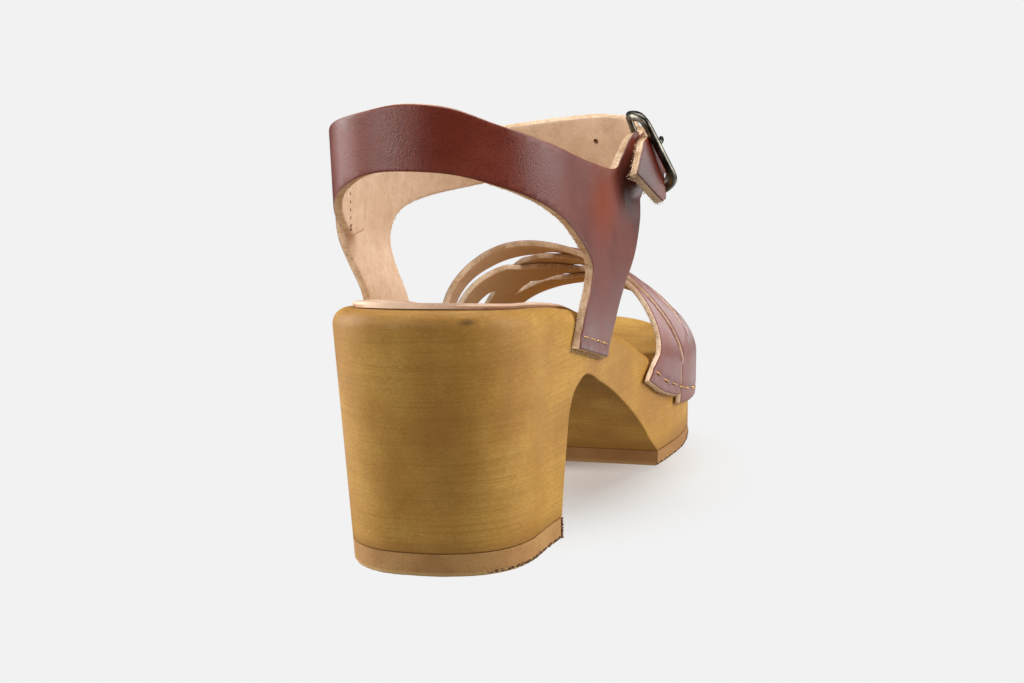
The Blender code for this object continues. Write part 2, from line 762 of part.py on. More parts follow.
def make_prong(brass, strap):
    """The prong with its eye round the bar, and the hole it takes in the strap."""
    middle = BAR_RADIUS + SEAT_GAP + PRONG_RADIUS
    angles = [2 * math.pi * k / 16 for k in range(16)]
    eye = [buckle_place(middle * math.cos(a), 0.0, middle * math.sin(a)) for a in angles]
    prong = new_object("buckle_prong", sweep_flat(eye, True), brass)
    shaft = [buckle_place(row.forward, 0.0, row.out) for row in PRONG]
    join(prong, new_object("shaft", sweep_flat(shaft, False), brass))
    ends = [buckle_place(PRONG_HOLE_FORWARD, 0.0, out) for out in (-1.0, 9.0)]
    join(strap, new_object("prong_hole", sweep(ends, PRONG_HOLE_RADIUS, 12, False), brass), "DIFFERENCE")
    return prong


def make_fold(strap, leather):
    """The end of the buckle tab, folded round the bar as a sleeve with a slot for the prong."""
    reach = FOLD_HALF_HEIGHT
    outer = sweep([buckle_place(0.0, s * reach, 0.0) for s in (-1, 1)], FOLD_RADIUS, 14, False)
    join(strap, new_object("fold", outer, leather))
    bore = sweep([buckle_place(0.0, s * (reach + 2), 0.0) for s in (-1, 1)], BAR_RADIUS + SEAT_GAP, 14, False)
    join(strap, new_object("fold_bore", bore, leather), "DIFFERENCE")
    slot = sweep([buckle_place(0.0, s * EYE_SLOT_HALF, 0.0) for s in (-1, 1)], FOLD_RADIUS + 0.8, 14, False)
    join(strap, new_object("eye_slot", slot, leather), "DIFFERENCE")


def leather_like(name, colour, rough):
    material = bpy.data.materials.new(name)
    material.use_nodes = True
    shader = material.node_tree.nodes["Principled BSDF"]
    shader.inputs["Base Color"].default_value = (*colour, 1.0)
    shader.inputs["Roughness"].default_value = rough
    return material


def settle(things):
    """Move every piece so that the middle of the whole box is over the origin."""
    corners = [v.co for thing in things for v in thing.data.vertices]
    middle_x = (min(c.x for c in corners) + max(c.x for c in corners)) / 2
    middle_y = (min(c.y for c in corners) + max(c.y for c in corners)) / 2
    for thing in bpy.data.objects:
        for vert in thing.data.vertices:
            vert.co.x -= middle_x
            vert.co.y -= middle_y


def build():
    for thing in list(bpy.data.objects):
        bpy.data.objects.remove(thing, do_unlink=True)
    wood = leather_like("limewood", (0.42, 0.27, 0.09), 0.5)
    crepe = leather_like("tan_rubber", (0.35, 0.20, 0.08), 0.7)
    sock_skin = leather_like("sock_leather", (0.30, 0.17, 0.10), 0.6)
    brown = leather_like("brown_leather", (0.16, 0.035, 0.02), 0.35)
    brass = leather_like("dark_brass", (0.10, 0.09, 0.05), 0.3)
    brass.node_tree.nodes["Principled BSDF"].inputs["Metallic"].default_value = 1.0
    pieces = [make_wood_sole(wood)]
    pieces.append(make_layer("heel_lift", 0.0, HEEL_BREAST_Y, LIFT_THICKNESS, lambda y: 0.0, crepe))
    pieces.append(make_layer("forefoot_outsole", TREAD_START_Y, SOLE_LENGTH, OUTSOLE_THICKNESS, spring, crepe))
    pieces.append(make_heel_sock(sock_skin))
    vamp = make_strap("vamp_straps", STRAP_OVER, SLIT_OVER, brown)
    join(vamp, make_strap("under_strap", STRAP_UNDER, SLIT_UNDER, brown))
    back = make_pattern("back_strap", BACK_PATTERN, back_wrap, brown)
    make_fold(back, brown)
    ankle = make_pattern("ankle_strap", ANKLE_PATTERN, ankle_wrap, brown)
    pieces += [vamp, back, ankle, make_buckle(brass), make_prong(brass, ankle)]
    for piece in pieces[4:]:
        weld(piece)
    settle(pieces)


build()
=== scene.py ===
# %% [markdown]
# # A clog sandal in lime wood and brown leather
# The object is a right shoe: a wooden sole with a block heel, woven straps over the forefoot, a band
# round the heel and a buckled strap over the instep.  Its solids are measured already and come in as
# a fixed frame in metres, with the heel at -Y, the toe at +Y and the floor at Z = 0.  This lesson
# gives each solid its finished surface: cut leather edges, grain, staples, wood figure and wear.

# %% Load the solids
import json
import math
import random
from bisect import bisect_right
from collections import namedtuple

import bmesh
import bpy
from mathutils import Matrix, Vector, noise

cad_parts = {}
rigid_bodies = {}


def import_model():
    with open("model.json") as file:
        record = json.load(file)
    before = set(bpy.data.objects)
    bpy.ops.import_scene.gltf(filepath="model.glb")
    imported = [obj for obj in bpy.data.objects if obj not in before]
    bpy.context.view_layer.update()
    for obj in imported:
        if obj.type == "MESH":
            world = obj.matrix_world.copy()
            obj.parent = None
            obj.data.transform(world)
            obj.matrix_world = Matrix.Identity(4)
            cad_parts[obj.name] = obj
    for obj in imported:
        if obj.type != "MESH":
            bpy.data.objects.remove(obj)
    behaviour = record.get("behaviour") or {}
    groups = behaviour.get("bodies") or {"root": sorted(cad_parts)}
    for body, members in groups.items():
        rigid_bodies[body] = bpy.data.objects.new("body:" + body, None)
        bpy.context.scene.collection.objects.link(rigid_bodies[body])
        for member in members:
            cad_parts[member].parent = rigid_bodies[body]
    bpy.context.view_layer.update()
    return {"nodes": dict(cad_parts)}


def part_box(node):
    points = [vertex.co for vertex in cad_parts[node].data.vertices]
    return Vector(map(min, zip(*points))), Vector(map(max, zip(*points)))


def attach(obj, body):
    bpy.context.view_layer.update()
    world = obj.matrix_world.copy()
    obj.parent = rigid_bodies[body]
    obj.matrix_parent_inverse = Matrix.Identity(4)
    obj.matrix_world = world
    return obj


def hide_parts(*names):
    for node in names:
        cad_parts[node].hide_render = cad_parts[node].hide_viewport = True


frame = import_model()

print("solids:", sorted(frame["nodes"]))

# %% [markdown]
# ## Working sizes
# A last maker thinks in millimetres from the back of the heel, so the shapes below do too: x to the
# outer side, y to the toe, z up.  Every finished piece is moved once into the frame, where the middle
# of the whole shoe is over the origin, and its object stays at the origin.

# %% Sizes in millimetres
MM = 0.001
SOLE_LENGTH = 243.5
HEEL_BACK_X = -2.8
TOE_TIP_X = -8.0
SIDE_TAPER = 0.036
RIM_RADIUS = 5.0
FOOTBED_DISH = 2.6
DISH_RUN_OUT = 30.0
LIFT_THICKNESS = 6.9
OUTSOLE_THICKNESS = 5.2
HEEL_BREAST_Y = 47.5
TREAD_START_Y = 139.4
TOE_SPRING_START_Y = 200.0
TOE_SPRING = 7.0
LEATHER = 2.8
SEAT_GAP = 0.3

Section = namedtuple("Section", "y inner outer rim")
SOLE = [Section(*row) for row in (
    (0.0, -31.4, 32.6, 79.7), (34.0, -31.4, 32.8, 75.6), (64.0, -29.8, 34.9, 69.9),
    (82.0, -29.4, 35.1, 64.2), (101.0, -30.7, 35.2, 57.2), (120.0, -35.2, 36.6, 48.6),
    (130.0, -38.0, 37.6, 43.4), (139.0, -40.4, 38.4, 39.4), (150.0, -43.2, 39.5, 36.0),
    (163.0, -45.4, 40.2, 34.0), (175.0, -46.2, 40.2, 33.0), (195.0, -46.2, 40.2, 32.6),
    (243.5, -46.2, 40.2, 35.5),
)]
Turn = namedtuple("Turn", "depth power")
HEEL_TURN = {-1: Turn(34.0, 2.27), 1: Turn(30.0, 2.44)}
TOE_TURN = {-1: Turn(68.5, 2.4), 1: Turn(80.5, 1.8)}
Arch = namedtuple("Arch", "y z")
ARCH = [Arch(*row) for row in (
    (47.5, 7.2), (48.6, 15.0), (51.4, 30.0), (53.4, 39.0), (58.5, 45.6), (67.5, 48.3),
    (83.5, 42.6), (98.2, 36.0), (112.0, 27.8), (125.3, 17.6), (132.3, 10.9), (139.4, 5.5),
)]
WIDEST_X = max(row.outer for row in SOLE)
sole_low, sole_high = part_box("wood_sole")
MIDDLE = Vector((WIDEST_X - sole_high.x / MM, -sole_low.y / MM, 0.0))
print("sole", SOLE_LENGTH, "mm long; the frame's origin is at", [round(v, 2) for v in MIDDLE])


# %% Reading a table between its rows
def along(rows, column, at):
    """A column of a table at any place between its rows, without overshoot."""
    xs = [row[0] for row in rows]
    ys = [getattr(row, column) for row in rows]
    if at <= xs[0]:
        return ys[0]
    if at >= xs[-1]:
        return ys[-1]
    slopes = [(b - a) / (d - c) for a, b, c, d in zip(ys, ys[1:], xs, xs[1:])]

    def tangent(i):
        if i == 0 or i == len(xs) - 1:
            return slopes[min(i, len(slopes) - 1)]
        before, after = slopes[i - 1], slopes[i]
        return 0.0 if before * after <= 0 else 2 * before * after / (before + after)

    i = bisect_right(xs, at) - 1
    h = xs[i + 1] - xs[i]
    f = (at - xs[i]) / h
    start = ys[i] * (2 * f ** 3 - 3 * f ** 2 + 1) + tangent(i) * h * (f ** 3 - 2 * f ** 2 + f)
    end = ys[i + 1] * (3 * f ** 2 - 2 * f ** 3) + tangent(i + 1) * h * (f ** 3 - f ** 2)
    return start + end


def ease(f):
    f = min(max(f, 0.0), 1.0)
    return f * f * (3 - 2 * f)


def hill(distance, width):
    """1 at distance 0, falling smoothly to nothing."""
    return math.exp(-(distance / width) ** 2)


print("rim at the ball:", round(along(SOLE, "rim", 175.0), 1))


# %% The outline of the sole
def turn_share(f, power):
    return max(1 - min(max(f, 0.0), 1.0) ** power, 0.0) ** (1 / power)


def rim_x(y, side):
    column = "outer" if side > 0 else "inner"
    heel, toe = HEEL_TURN[side], TOE_TURN[side]
    toe_start = SOLE_LENGTH - toe.depth
    if y < heel.depth:
        end = along(SOLE, column, heel.depth)
        return HEEL_BACK_X + (end - HEEL_BACK_X) * turn_share(1 - y / heel.depth, heel.power)
    if y > toe_start:
        end = along(SOLE, column, toe_start)
        return TOE_TIP_X + (end - TOE_TIP_X) * turn_share((y - toe_start) / toe.depth, toe.power)
    return along(SOLE, column, y)


def rim_z(y):
    return along(SOLE, "rim", y)


def outline_point(y, side, inset, z):
    """The rim outline moved in by inset along its own normal, at height z."""
    if y <= 0.0 or y >= SOLE_LENGTH:
        inward = Vector((0.0, 1.0 if y <= 0.0 else -1.0))
    else:
        step = min(0.4, y / 2, (SOLE_LENGTH - y) / 2)
        run = Vector((rim_x(y + step, side) - rim_x(y - step, side), 2 * step)).normalized()
        inward = Vector((-side * run.y, side * run.x))
    return Vector((rim_x(y, side) + inward.x * inset, y + inward.y * inset, z))


def taper(y, z):
    """How far the side of the sole has come in at height z."""
    return SIDE_TAPER * (rim_z(y) - RIM_RADIUS - z)


def leather_off(y, side):
    """How far out from the rim the middle of a sheet lies that is pressed to the side of the sole."""
    slope = rim_x(y + 0.5, side) - rim_x(y - 0.5, side)
    return (SEAT_GAP + LEATHER / 2) * math.hypot(1.0, slope)


def spring(y):
    f = max(y - TOE_SPRING_START_Y, 0.0) / (SOLE_LENGTH - TOE_SPRING_START_Y)
    return TOE_SPRING * f * f


def under_z(y):
    if y <= HEEL_BREAST_Y:
        return LIFT_THICKNESS + SEAT_GAP
    if y >= TREAD_START_Y:
        return OUTSOLE_THICKNESS + SEAT_GAP + spring(y)
    return along(ARCH, "z", y)


def footbed_point(y, across, lift=0.0):
    """A place on the footbed or over it by lift; across goes from -1 at the outer rim to 1."""
    outer, inner = (outline_point(y, side, RIM_RADIUS, 0.0) for side in (1, -1))
    p = outer.lerp(inner, (across + 1) / 2)
    ends = ease(y / DISH_RUN_OUT) * ease((SOLE_LENGTH - y) / DISH_RUN_OUT)
    level = rim_z(y) - FOOTBED_DISH * ends * (1 - across * across)
    return Vector((p.x, p.y, level + lift))


print("width at the ball:", round(rim_x(175.0, 1) - rim_x(175.0, -1), 1), "mm")


# %% Finishing a piece
def new_object(name, bm):
    mesh = bpy.data.meshes.new(name)
    bm.to_mesh(mesh)
    bm.free()
    thing = bpy.data.objects.new(name, mesh)
    bpy.context.scene.collection.objects.link(thing)
    return thing


def piece(name, bm, finish, nodes=(), sharp=50.0):
    """Move a bmesh into the frame and make it a piece of the shoe."""
    for vert in bm.verts:
        vert.co = (vert.co - MIDDLE) * MM
    thing = new_object(name, bm)
    mesh = thing.data
    mesh.shade_smooth()
    mesh.set_sharp_from_angle(angle=math.radians(sharp))
    mesh.materials.append(finish)
    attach(thing, "root")
    if nodes:
        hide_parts(*nodes)
    print(name, "has", len(mesh.polygons), "faces")


def together(parts):
    bm = parts[0]
    for part in parts[1:]:
        mesh = bpy.data.meshes.new("helper")
        part.to_mesh(mesh)
        part.free()
        bm.from_mesh(mesh)
        bpy.data.meshes.remove(mesh)
    return bm


def outward(bm):
    bmesh.ops.recalc_face_normals(bm, faces=bm.faces)


def close_ends(bm):
    bmesh.ops.holes_fill(bm, edges=[edge for edge in bm.edges if edge.is_boundary], sides=0)
    outward(bm)


def grid_body(columns, rows, place):
    """A grid bent into a closed body: place(i, k) gives the point of column i and row k."""
    bm = bmesh.new()
    bmesh.ops.create_grid(bm, x_segments=columns, y_segments=rows, size=1.0)
    for vert in bm.verts:
        i = round((vert.co.x + 1) / 2 * columns)
        k = round((vert.co.y + 1) / 2 * rows)
        vert.co = place(i, k)
    bmesh.ops.remove_doubles(bm, verts=bm.verts, dist=0.002)
    bmesh.ops.dissolve_degenerate(bm, dist=0.001, edges=bm.edges)
    outward(bm)
    return bm


print("helpers ready")

# %% [markdown]
# ## Node helpers and shared effects
# A finish is a small network of shader nodes.  A net holds one node tree and has a short word for each
# kind of node, so each finish below reads from left to right.  Effects that several finishes share, such
# as pebbled grain, loose fibres or a soft round mark, are node groups that put out masks and heights
# only; the shader itself stays in each material, where its sockets can be seen.

# %% Placing and wiring nodes
class Net:
    """A node tree; where is its place in space, sockets are the inputs of its last node."""

    def __init__(self, tree, where=None, sockets=None):
        self.tree, self.where, self.sockets = tree, where, sockets

    def feed(self, socket, value):
        """Wire an input to the socket that feeds it, or give it a constant."""
        if isinstance(value, bpy.types.NodeSocket):
            self.tree.links.new(value, socket)
        else:
            socket.default_value = value

    def place(self, kind, wires=None, **settings):
        """A new node; settings are its options, wires its inputs."""
        node = self.tree.nodes.new("ShaderNode" + kind)
        for key, value in settings.items():
            setattr(node, key, value)
        for key, value in (wires or {}).items():
            self.feed(node.inputs[key], value)
        return node

    def dress(self, values):
        """Feed the sockets of the last node, by name."""
        for label, value in values.items():
            self.feed(self.sockets[label], value)

    def maths(self, operation, a, b, clamp=False):
        return self.place("Math", {0: a, 1: b}, operation=operation, use_clamp=clamp).outputs[0]

    def times(self, a, b):
        return self.maths("MULTIPLY", a, b)

    def weigh(self, a, share_a, b, share_b):
        return self.maths("ADD", self.times(a, share_a), self.times(b, share_b))

    def vector(self, operation, a, b):
        """Two vectors joined, or a vector scaled by a number."""
        wires = {0: a, 3 if operation == "SCALE" else 1: b}
        return self.place("VectorMath", wires, operation=operation).outputs[0]

    def remap(self, value, low, high, to_low=0.0, to_high=1.0):
        wires = {"Value": value, 1: low, 2: high, 3: to_low, 4: to_high}
        return self.place("MapRange", wires, interpolation_type="SMOOTHSTEP", clamp=True).outputs[0]

    def blend(self, factor, a, b):
        """Two colours mixed by a factor; a constant colour is given as red, green and blue."""
        a, b = ((*paint, 1.0) if isinstance(paint, tuple) else paint for paint in (a, b))
        return self.place("Mix", {0: factor, 6: a, 7: b}, data_type="RGBA").outputs[2]

    def between(self, value, low, high, a, b):
        return self.blend(self.remap(value, low, high), a, b)

    def coat(self, base, value, low, high, share, paint):
        """A colour laid over base, by share at most, as a value goes from low to high."""
        return self.blend(self.remap(value, low, high, 0.0, share), base, paint)

    def mark(self, centre, size):
        return self.use("Mark", Centre=centre, Size=size)["Mask"]

    # A colour laid over base inside a soft round mark; used for real stains and for painted shade and shadow.
    def stain_and_shade(self, base, centre, size, share, paint):
        return self.blend(self.times(self.mark(centre, size), share), base, paint)

    def cloud(self, scale, detail=2.0, rough=0.5, stretch=None, at=None, output=0):
        """Noise; stretch gives it its own scale along each axis."""
        at = at or self.where
        if stretch:
            at = self.place("Mapping", {"Vector": at, "Scale": stretch}).outputs[0]
        wires = {"Vector": at, "Scale": scale, "Detail": detail, "Roughness": rough}
        return self.place("TexNoise", wires).outputs[output]

    def axis(self, letter):
        return self.place("SeparateXYZ", {"Vector": self.where}).outputs[letter]

    def bump(self, strength, distance, height):
        return self.place("Bump", {"Strength": strength, "Distance": distance, "Height": height}).outputs[0]

    def use(self, name, **wires):
        """The outputs of a shared effect."""
        wires["Vector"] = self.where
        return self.place("Group", wires, node_tree=bpy.data.node_groups[name]).outputs


def group(name, inputs, outputs):
    """A shared effect: the net of a node group, and its named inputs."""
    tree = bpy.data.node_groups.new(name, "ShaderNodeTree")
    for label, kind in inputs.items():
        tree.interface.new_socket(label, in_out="INPUT", socket_type="NodeSocket" + kind)
    for label in outputs:
        tree.interface.new_socket(label, in_out="OUTPUT", socket_type="NodeSocketFloat")
    given = tree.nodes.new("NodeGroupInput").outputs
    return Net(tree, given["Vector"], tree.nodes.new("NodeGroupOutput").inputs), given


def finish(name):
    """A new material, and its net with the sockets of the Principled shader."""
    material = bpy.data.materials.new(name)
    material.use_nodes = True
    tree = material.node_tree
    where = tree.nodes.new("ShaderNodeTexCoord").outputs["Object"]
    return material, Net(tree, where, tree.nodes["Principled BSDF"].inputs)


def spot(x, y, z):
    """A place in working millimetres as a place in the frame."""
    return (Vector((x, y, z)) - MIDDLE) * MM


print("node helpers ready")

# %% Shared effects: pebbles, fibres, marks
net, given = group("Pebbles", {"Vector": "Vector", "Scale": "Float"}, ("Height", "Tone"))
drift = net.vector("SCALE", net.cloud(700.0, output=1), 0.0006)
wires = {"Vector": net.vector("ADD", net.where, drift), "Scale": given["Scale"], "Smoothness": 0.35}
cells = net.place("TexVoronoi", wires, feature="SMOOTH_F1")
raised = net.maths("SUBTRACT", 1.0, cells.outputs["Distance"])
net.dress({"Height": net.weigh(raised, 0.75, net.cloud(900.0), 0.25), "Tone": net.cloud(55.0, 4.0, 0.6)})

net, given = group("Fibres", {"Vector": "Vector"}, ("Height", "Tone"))
fuzz = net.cloud(1500.0, 4.0, 0.7)
clumps = net.cloud(260.0, 3.0, 0.6)
net.dress({"Height": net.weigh(fuzz, 0.6, clumps, 0.4), "Tone": net.cloud(150.0, 5.0, 0.65)})

net, given = group("Mark", {"Vector": "Vector", "Centre": "Vector", "Size": "Vector"}, ("Mask",))
scaled = net.vector("DIVIDE", net.vector("SUBTRACT", net.where, given["Centre"]), given["Size"])
length = net.place("VectorMath", {0: scaled}, operation="LENGTH").outputs["Value"]
net.dress({"Mask": net.remap(length, 1.0, 0.0)})
print("groups:", [g.name for g in bpy.data.node_groups])

# %% [markdown]
# ## Lime wood
# Lime is plain: fine lines along the shoe, broad soft bands, a few specks and a small knot.  The sole
# is sawn from a lying board, so the lines are level on every upright face.  Noise stretched flat and
# wide gives lines of the right scale, a slow noise bends them, and the lower edge is darker; a patch of
# painted shade darkens the middle of the heel's back.

# %% Wood finish
FIGURE = ("Lines", "Bands", "Pores", "Mottle", "Specks", "Grain")
net, given = group("WoodFigure", {"Vector": "Vector"}, FIGURE)
sway = net.vector("SCALE", net.cloud(1.0, stretch=(14.0, 9.0, 30.0), output=1), 0.005)
bent = net.vector("ADD", net.where, sway)
net.dress({
    "Lines": net.cloud(1.0, 3.0, 0.65, (30.0, 22.0, 1500.0), bent),
    "Bands": net.cloud(1.0, 4.0, 0.6, (9.0, 7.0, 170.0), bent),
    "Pores": net.cloud(1.0, 1.0, 0.5, (420.0, 130.0, 2600.0), bent),
    "Mottle": net.cloud(34.0, 5.0, 0.62),
    "Specks": net.cloud(1250.0, 1.0, 0.5),
    "Grain": net.cloud(1.0, 3.0, 0.7, (950.0, 640.0, 2100.0), bent),
})

WOOD, net = finish("limewood")
figure = net.use("WoodFigure")
base = net.between(figure["Bands"], 0.32, 0.68, (0.440, 0.222, 0.038), (0.465, 0.240, 0.043))
for part, low, high, share, paint in (
    ("Mottle", 0.42, 0.66, 0.90, (0.560, 0.318, 0.066)),
    ("Mottle", 0.48, 0.30, 0.55, (0.340, 0.146, 0.021)),
    ("Lines", 0.56, 0.34, 0.34, (0.30, 0.135, 0.022)),
    ("Grain", 0.58, 0.36, 0.30, (0.27, 0.118, 0.016)),
    ("Grain", 0.56, 0.70, 0.26, (0.62, 0.360, 0.088)),
    ("Pores", 0.32, 0.22, 0.30, (0.24, 0.105, 0.018)),
    ("Specks", 0.745, 0.80, 0.50, (0.80, 0.580, 0.260)),
    ("Specks", 0.26, 0.21, 0.60, (0.20, 0.085, 0.016)),
):
    base = net.coat(base, figure[part], low, high, share, paint)
# Painted shade in the middle of the heel's back, a darker lower edge, the knot and a scuff below the rim.
# Painted shade, darkest in the middle of the heel's back.
base = net.stain_and_shade(base, spot(13.3, 1.5, 38.0), (0.019, 0.030, 0.042), 0.35, (0.300, 0.125, 0.020))
base = net.coat(base, net.axis("Z"), 0.013, 0.006, 0.55, (0.30, 0.130, 0.028))
base = net.stain_and_shade(base, spot(19.5, 5.0, 76.3), (0.0042, 0.0060, 0.0016), 0.75, (0.12, 0.050, 0.014))
base = net.stain_and_shade(base, spot(-1.5, 0.3, 75.5), (0.0040, 0.0060, 0.0012), 0.40, (0.50, 0.330, 0.120))
net.dress({
    "Base Color": base,
    "Roughness": net.remap(figure["Mottle"], 0.3, 0.7, 0.54, 0.66),
    "Normal": net.bump(0.16, 0.0002, net.weigh(figure["Lines"], 0.7, figure["Pores"], 0.3)),
    "Specular IOR Level": 0.35,
})
print("finish:", WOOD.name)

# %% [markdown]
# ## Leather
# One skin has three looks.  Its outside is a red-brown pebbled grain with a broad soft gloss, its
# inside is the bare pale flesh side, and the cut edge shows tan fibres.  Each sheet stores where a
# point lies in its thickness in an attribute called skin: 1 outside, -1 inside.  The finish reads it
# and lets the dye stop unevenly just over the edge, as a knife cut does.

# %% Leather finish
LEATHER_SKIN, net = finish("brown_leather")
depth = net.place("Attribute", attribute_name="skin").outputs["Fac"]
fibre = net.use("Fibres")
grain = net.use("Pebbles", Scale=1750.0)
ragged = net.maths("ADD", depth, net.times(net.maths("SUBTRACT", fibre["Height"], 0.5), 0.55))
dyed = net.remap(ragged, 0.70, 0.88)
flesh = net.remap(ragged, -0.66, -0.92)
# The dyed grain is lighter where the band is pulled, and a nearly black painted shadow lies on it behind the
# buckle.
hide = net.between(grain["Tone"], 0.34, 0.68, (0.190, 0.0225, 0.0072), (0.240, 0.0310, 0.0100))
hide = net.coat(hide, grain["Height"], 0.50, 0.28, 0.45, (0.095, 0.0100, 0.0042))
pull = net.mark(spot(38.2, 80.0, 101.0), (0.030, 0.024, 0.018))
hide = net.blend(net.times(pull, 0.85), hide, (0.340, 0.0560, 0.0120))
# Nearly black painted shadow below the buckle.
hide = net.stain_and_shade(hide, spot(38.6, 104.0, 107.0), (0.030, 0.017, 0.019), 0.85, (0.045, 0.0060, 0.0030))
# The cut edge is palest at the tail of the strap, and low on the tabs, where the paleness is painted light on
# cut faces that look down.
cut = net.between(fibre["Tone"], 0.35, 0.65, (0.56, 0.370, 0.220), (0.74, 0.560, 0.390))
cut = net.coat(cut, fibre["Height"], 0.52, 0.36, 0.60, (0.27, 0.120, 0.048))
tail = net.mark(spot(47.0, 110.0, 100.0), (0.018, 0.020, 0.014))
pale_tail_and_painted_tab_light = net.maths("ADD", net.remap(net.axis("Z"), 0.063, 0.058), net.times(tail, 2.0), clamp=True)
pale = net.between(fibre["Height"], 0.36, 0.58, (0.62, 0.430, 0.260), (0.95, 0.78, 0.60))
cut = net.blend(net.times(pale_tail_and_painted_tab_light, 0.85), cut, pale)
# The flesh side is darker over the forefoot: partly a more tan flesh, partly painted shade inside the woven
# straps.
bare = net.between(fibre["Tone"], 0.30, 0.70, (0.74, 0.535, 0.375), (0.80, 0.610, 0.455))
bare = net.coat(bare, fibre["Height"], 0.56, 0.38, 0.42, (0.52, 0.320, 0.175))
bare = net.coat(bare, net.axis("Y"), 0.018, 0.045, 0.75, (0.56, 0.365, 0.190))
DULL = 0.93
gloss = net.remap(grain["Tone"], 0.35, 0.65, 0.36, 0.46)
pebble = net.times(grain["Height"], dyed)
nap = net.times(fibre["Height"], net.maths("SUBTRACT", 1.0, dyed))
shine = net.maths("SUBTRACT", 0.78, net.times(pull, 0.5))
net.dress({
    "Base Color": net.blend(dyed, net.blend(flesh, cut, bare), hide),
    "Roughness": net.maths("ADD", DULL, net.times(dyed, net.maths("SUBTRACT", gloss, DULL))),
    "Normal": net.bump(0.32, 0.0002, net.maths("ADD", pebble, net.times(nap, 3.0))),
    "Specular IOR Level": net.times(dyed, shine),
    "Coat Weight": net.times(dyed, 0.10),
    "Coat Roughness": 0.30,
})
print("finish:", LEATHER_SKIN.name)

# %% Sock leather and rubber
SOCK_SKIN, net = finish("sock_leather")
fibre = net.use("Fibres")
grain = net.use("Pebbles", Scale=1500.0)
top = net.between(grain["Tone"], 0.3, 0.7, (0.62, 0.400, 0.270), (0.74, 0.520, 0.370))
net.dress({
    "Base Color": net.coat(top, fibre["Height"], 0.48, 0.36, 0.25, (0.24, 0.115, 0.060)),
    "Roughness": net.remap(fibre["Tone"], 0.3, 0.7, 0.55, 0.75),
    "Normal": net.bump(0.35, 0.0003, grain["Height"]),
})

# The rubber has dark and light specks, a pale trimmed lower edge, and is darker under the forefoot.
RUBBER, net = finish("tan_rubber")
specks = net.cloud(1600.0, 2.0, 0.6)
layer = net.between(net.cloud(60.0, 4.0, 0.6), 0.32, 0.68, (0.40, 0.195, 0.060), (0.50, 0.272, 0.094))
layer = net.coat(layer, specks, 0.40, 0.28, 0.6, (0.17, 0.075, 0.026))
layer = net.coat(layer, specks, 0.66, 0.76, 0.6, (0.62, 0.420, 0.230))
layer = net.coat(layer, net.axis("Z"), 0.0017, 0.0008, 0.55, (0.66, 0.460, 0.215))
layer = net.coat(layer, net.axis("Y"), -0.04, -0.02, 0.50, (0.25, 0.108, 0.032))
net.dress({
    "Base Color": layer,
    "Roughness": net.remap(specks, 0.3, 0.7, 0.68, 0.85),
    "Normal": net.bump(0.5, 0.0003, specks),
})
print("finishes:", SOCK_SKIN.name, RUBBER.name)


# %% Metal, thread, crumbs and loose fibres
def metal(name, noise_scale, noise_detail, tones, polish, metallic):
    """Worn metal; tones are the noise limits with their colours, polish its lowest and highest roughness."""
    material, net = finish(name)
    worn = net.cloud(noise_scale, noise_detail, 0.6)
    net.dress({
        "Base Color": net.between(worn, *tones),
        "Roughness": net.remap(worn, 0.3, 0.7, *polish),
        "Metallic": metallic,
    })
    return material


dark, bright = (0.085, 0.078, 0.062), (0.26, 0.240, 0.195)
BRASS = metal("dark_brass", 240.0, 4.0, (0.40, 0.72, dark, bright), (0.24, 0.40), 1.0)
dark, bright = (0.50, 0.275, 0.105), (0.74, 0.470, 0.220)
STAPLE = metal("staple_brass", 700.0, 3.0, (0.35, 0.70, dark, bright), (0.40, 0.55), 0.85)

THREAD, net = finish("brown_thread")
twist = net.cloud(2200.0, 2.0, 0.6)
net.dress({
    "Base Color": net.between(twist, 0.35, 0.65, (0.16, 0.07, 0.030), (0.34, 0.17, 0.075)),
    "Roughness": 0.8,
    "Normal": net.bump(0.6, 0.0002, twist),
})

CRUMB, net = finish("trimmed_crumbs")
tone = net.blend(net.cloud(900.0), (0.060, 0.024, 0.010), (0.24, 0.115, 0.045))
net.dress({"Base Color": tone, "Roughness": 0.85})

FIBRE, net = finish("pale_fibre")
tone = net.blend(net.cloud(400.0), (0.62, 0.42, 0.25), (0.90, 0.74, 0.56))
net.dress({"Base Color": tone, "Roughness": 0.9})
print("finishes:", [m.name for m in (BRASS, STAPLE, THREAD, CRUMB, FIBRE)])

# %% [markdown]
# ## The wooden sole
# The sole is milled from one block.  Its outline, rim height and underside are known along its
# length, so a flat grid can be wrapped round it: one direction runs from heel to toe, the other goes
# once round the section, over the underside, up the outer wall, round the rim, across the footbed
# and down the inner wall.  A boolean of boxes could not give the flowing rim, and sculpting would
# lose the sizes.  Rows lie closer where the outline turns and where the heel meets the arch.

# %% Places along the sole and round its section
SOLE_EDGE = 0.5
Stop = namedtuple("Stop", "part side share")


def stops(part, side, count):
    return [Stop(part, side, k / count) for k in range(count)]


def inner_side(outer):
    """The way down the inner side, from the stops that lead up the outer one."""
    return [Stop(stop.part, -1, stop.share) for stop in reversed(outer[1:])]


UP_THE_SOLE = stops("foot", 1, 4) + stops("wall", 1, 18) + stops("rim", 1, 9)
SOLE_STOPS = stops("base", 0, 14) + UP_THE_SOLE + stops("bed", 0, 26)
SOLE_STOPS += inner_side(UP_THE_SOLE + [Stop("rim", 1, 1.0)])


def stations(start, end, count, extra=()):
    """Places along the sole, closer together at the heel and at the toe."""
    ys = [SOLE_LENGTH * (1 - math.cos(math.pi * k / count)) / 2 for k in range(count + 1)]
    kept = [y for y in ys if start < y < end and all(abs(y - e) > 0.35 for e in extra)]
    return sorted([start, end] + kept + [e for e in extra if start < e < end])


def quarter(edge, share):
    """Inset and rise along a rounded lower edge."""
    a = math.pi / 2 * share
    return edge * (1 - math.sin(a)), edge * (1 - math.cos(a))


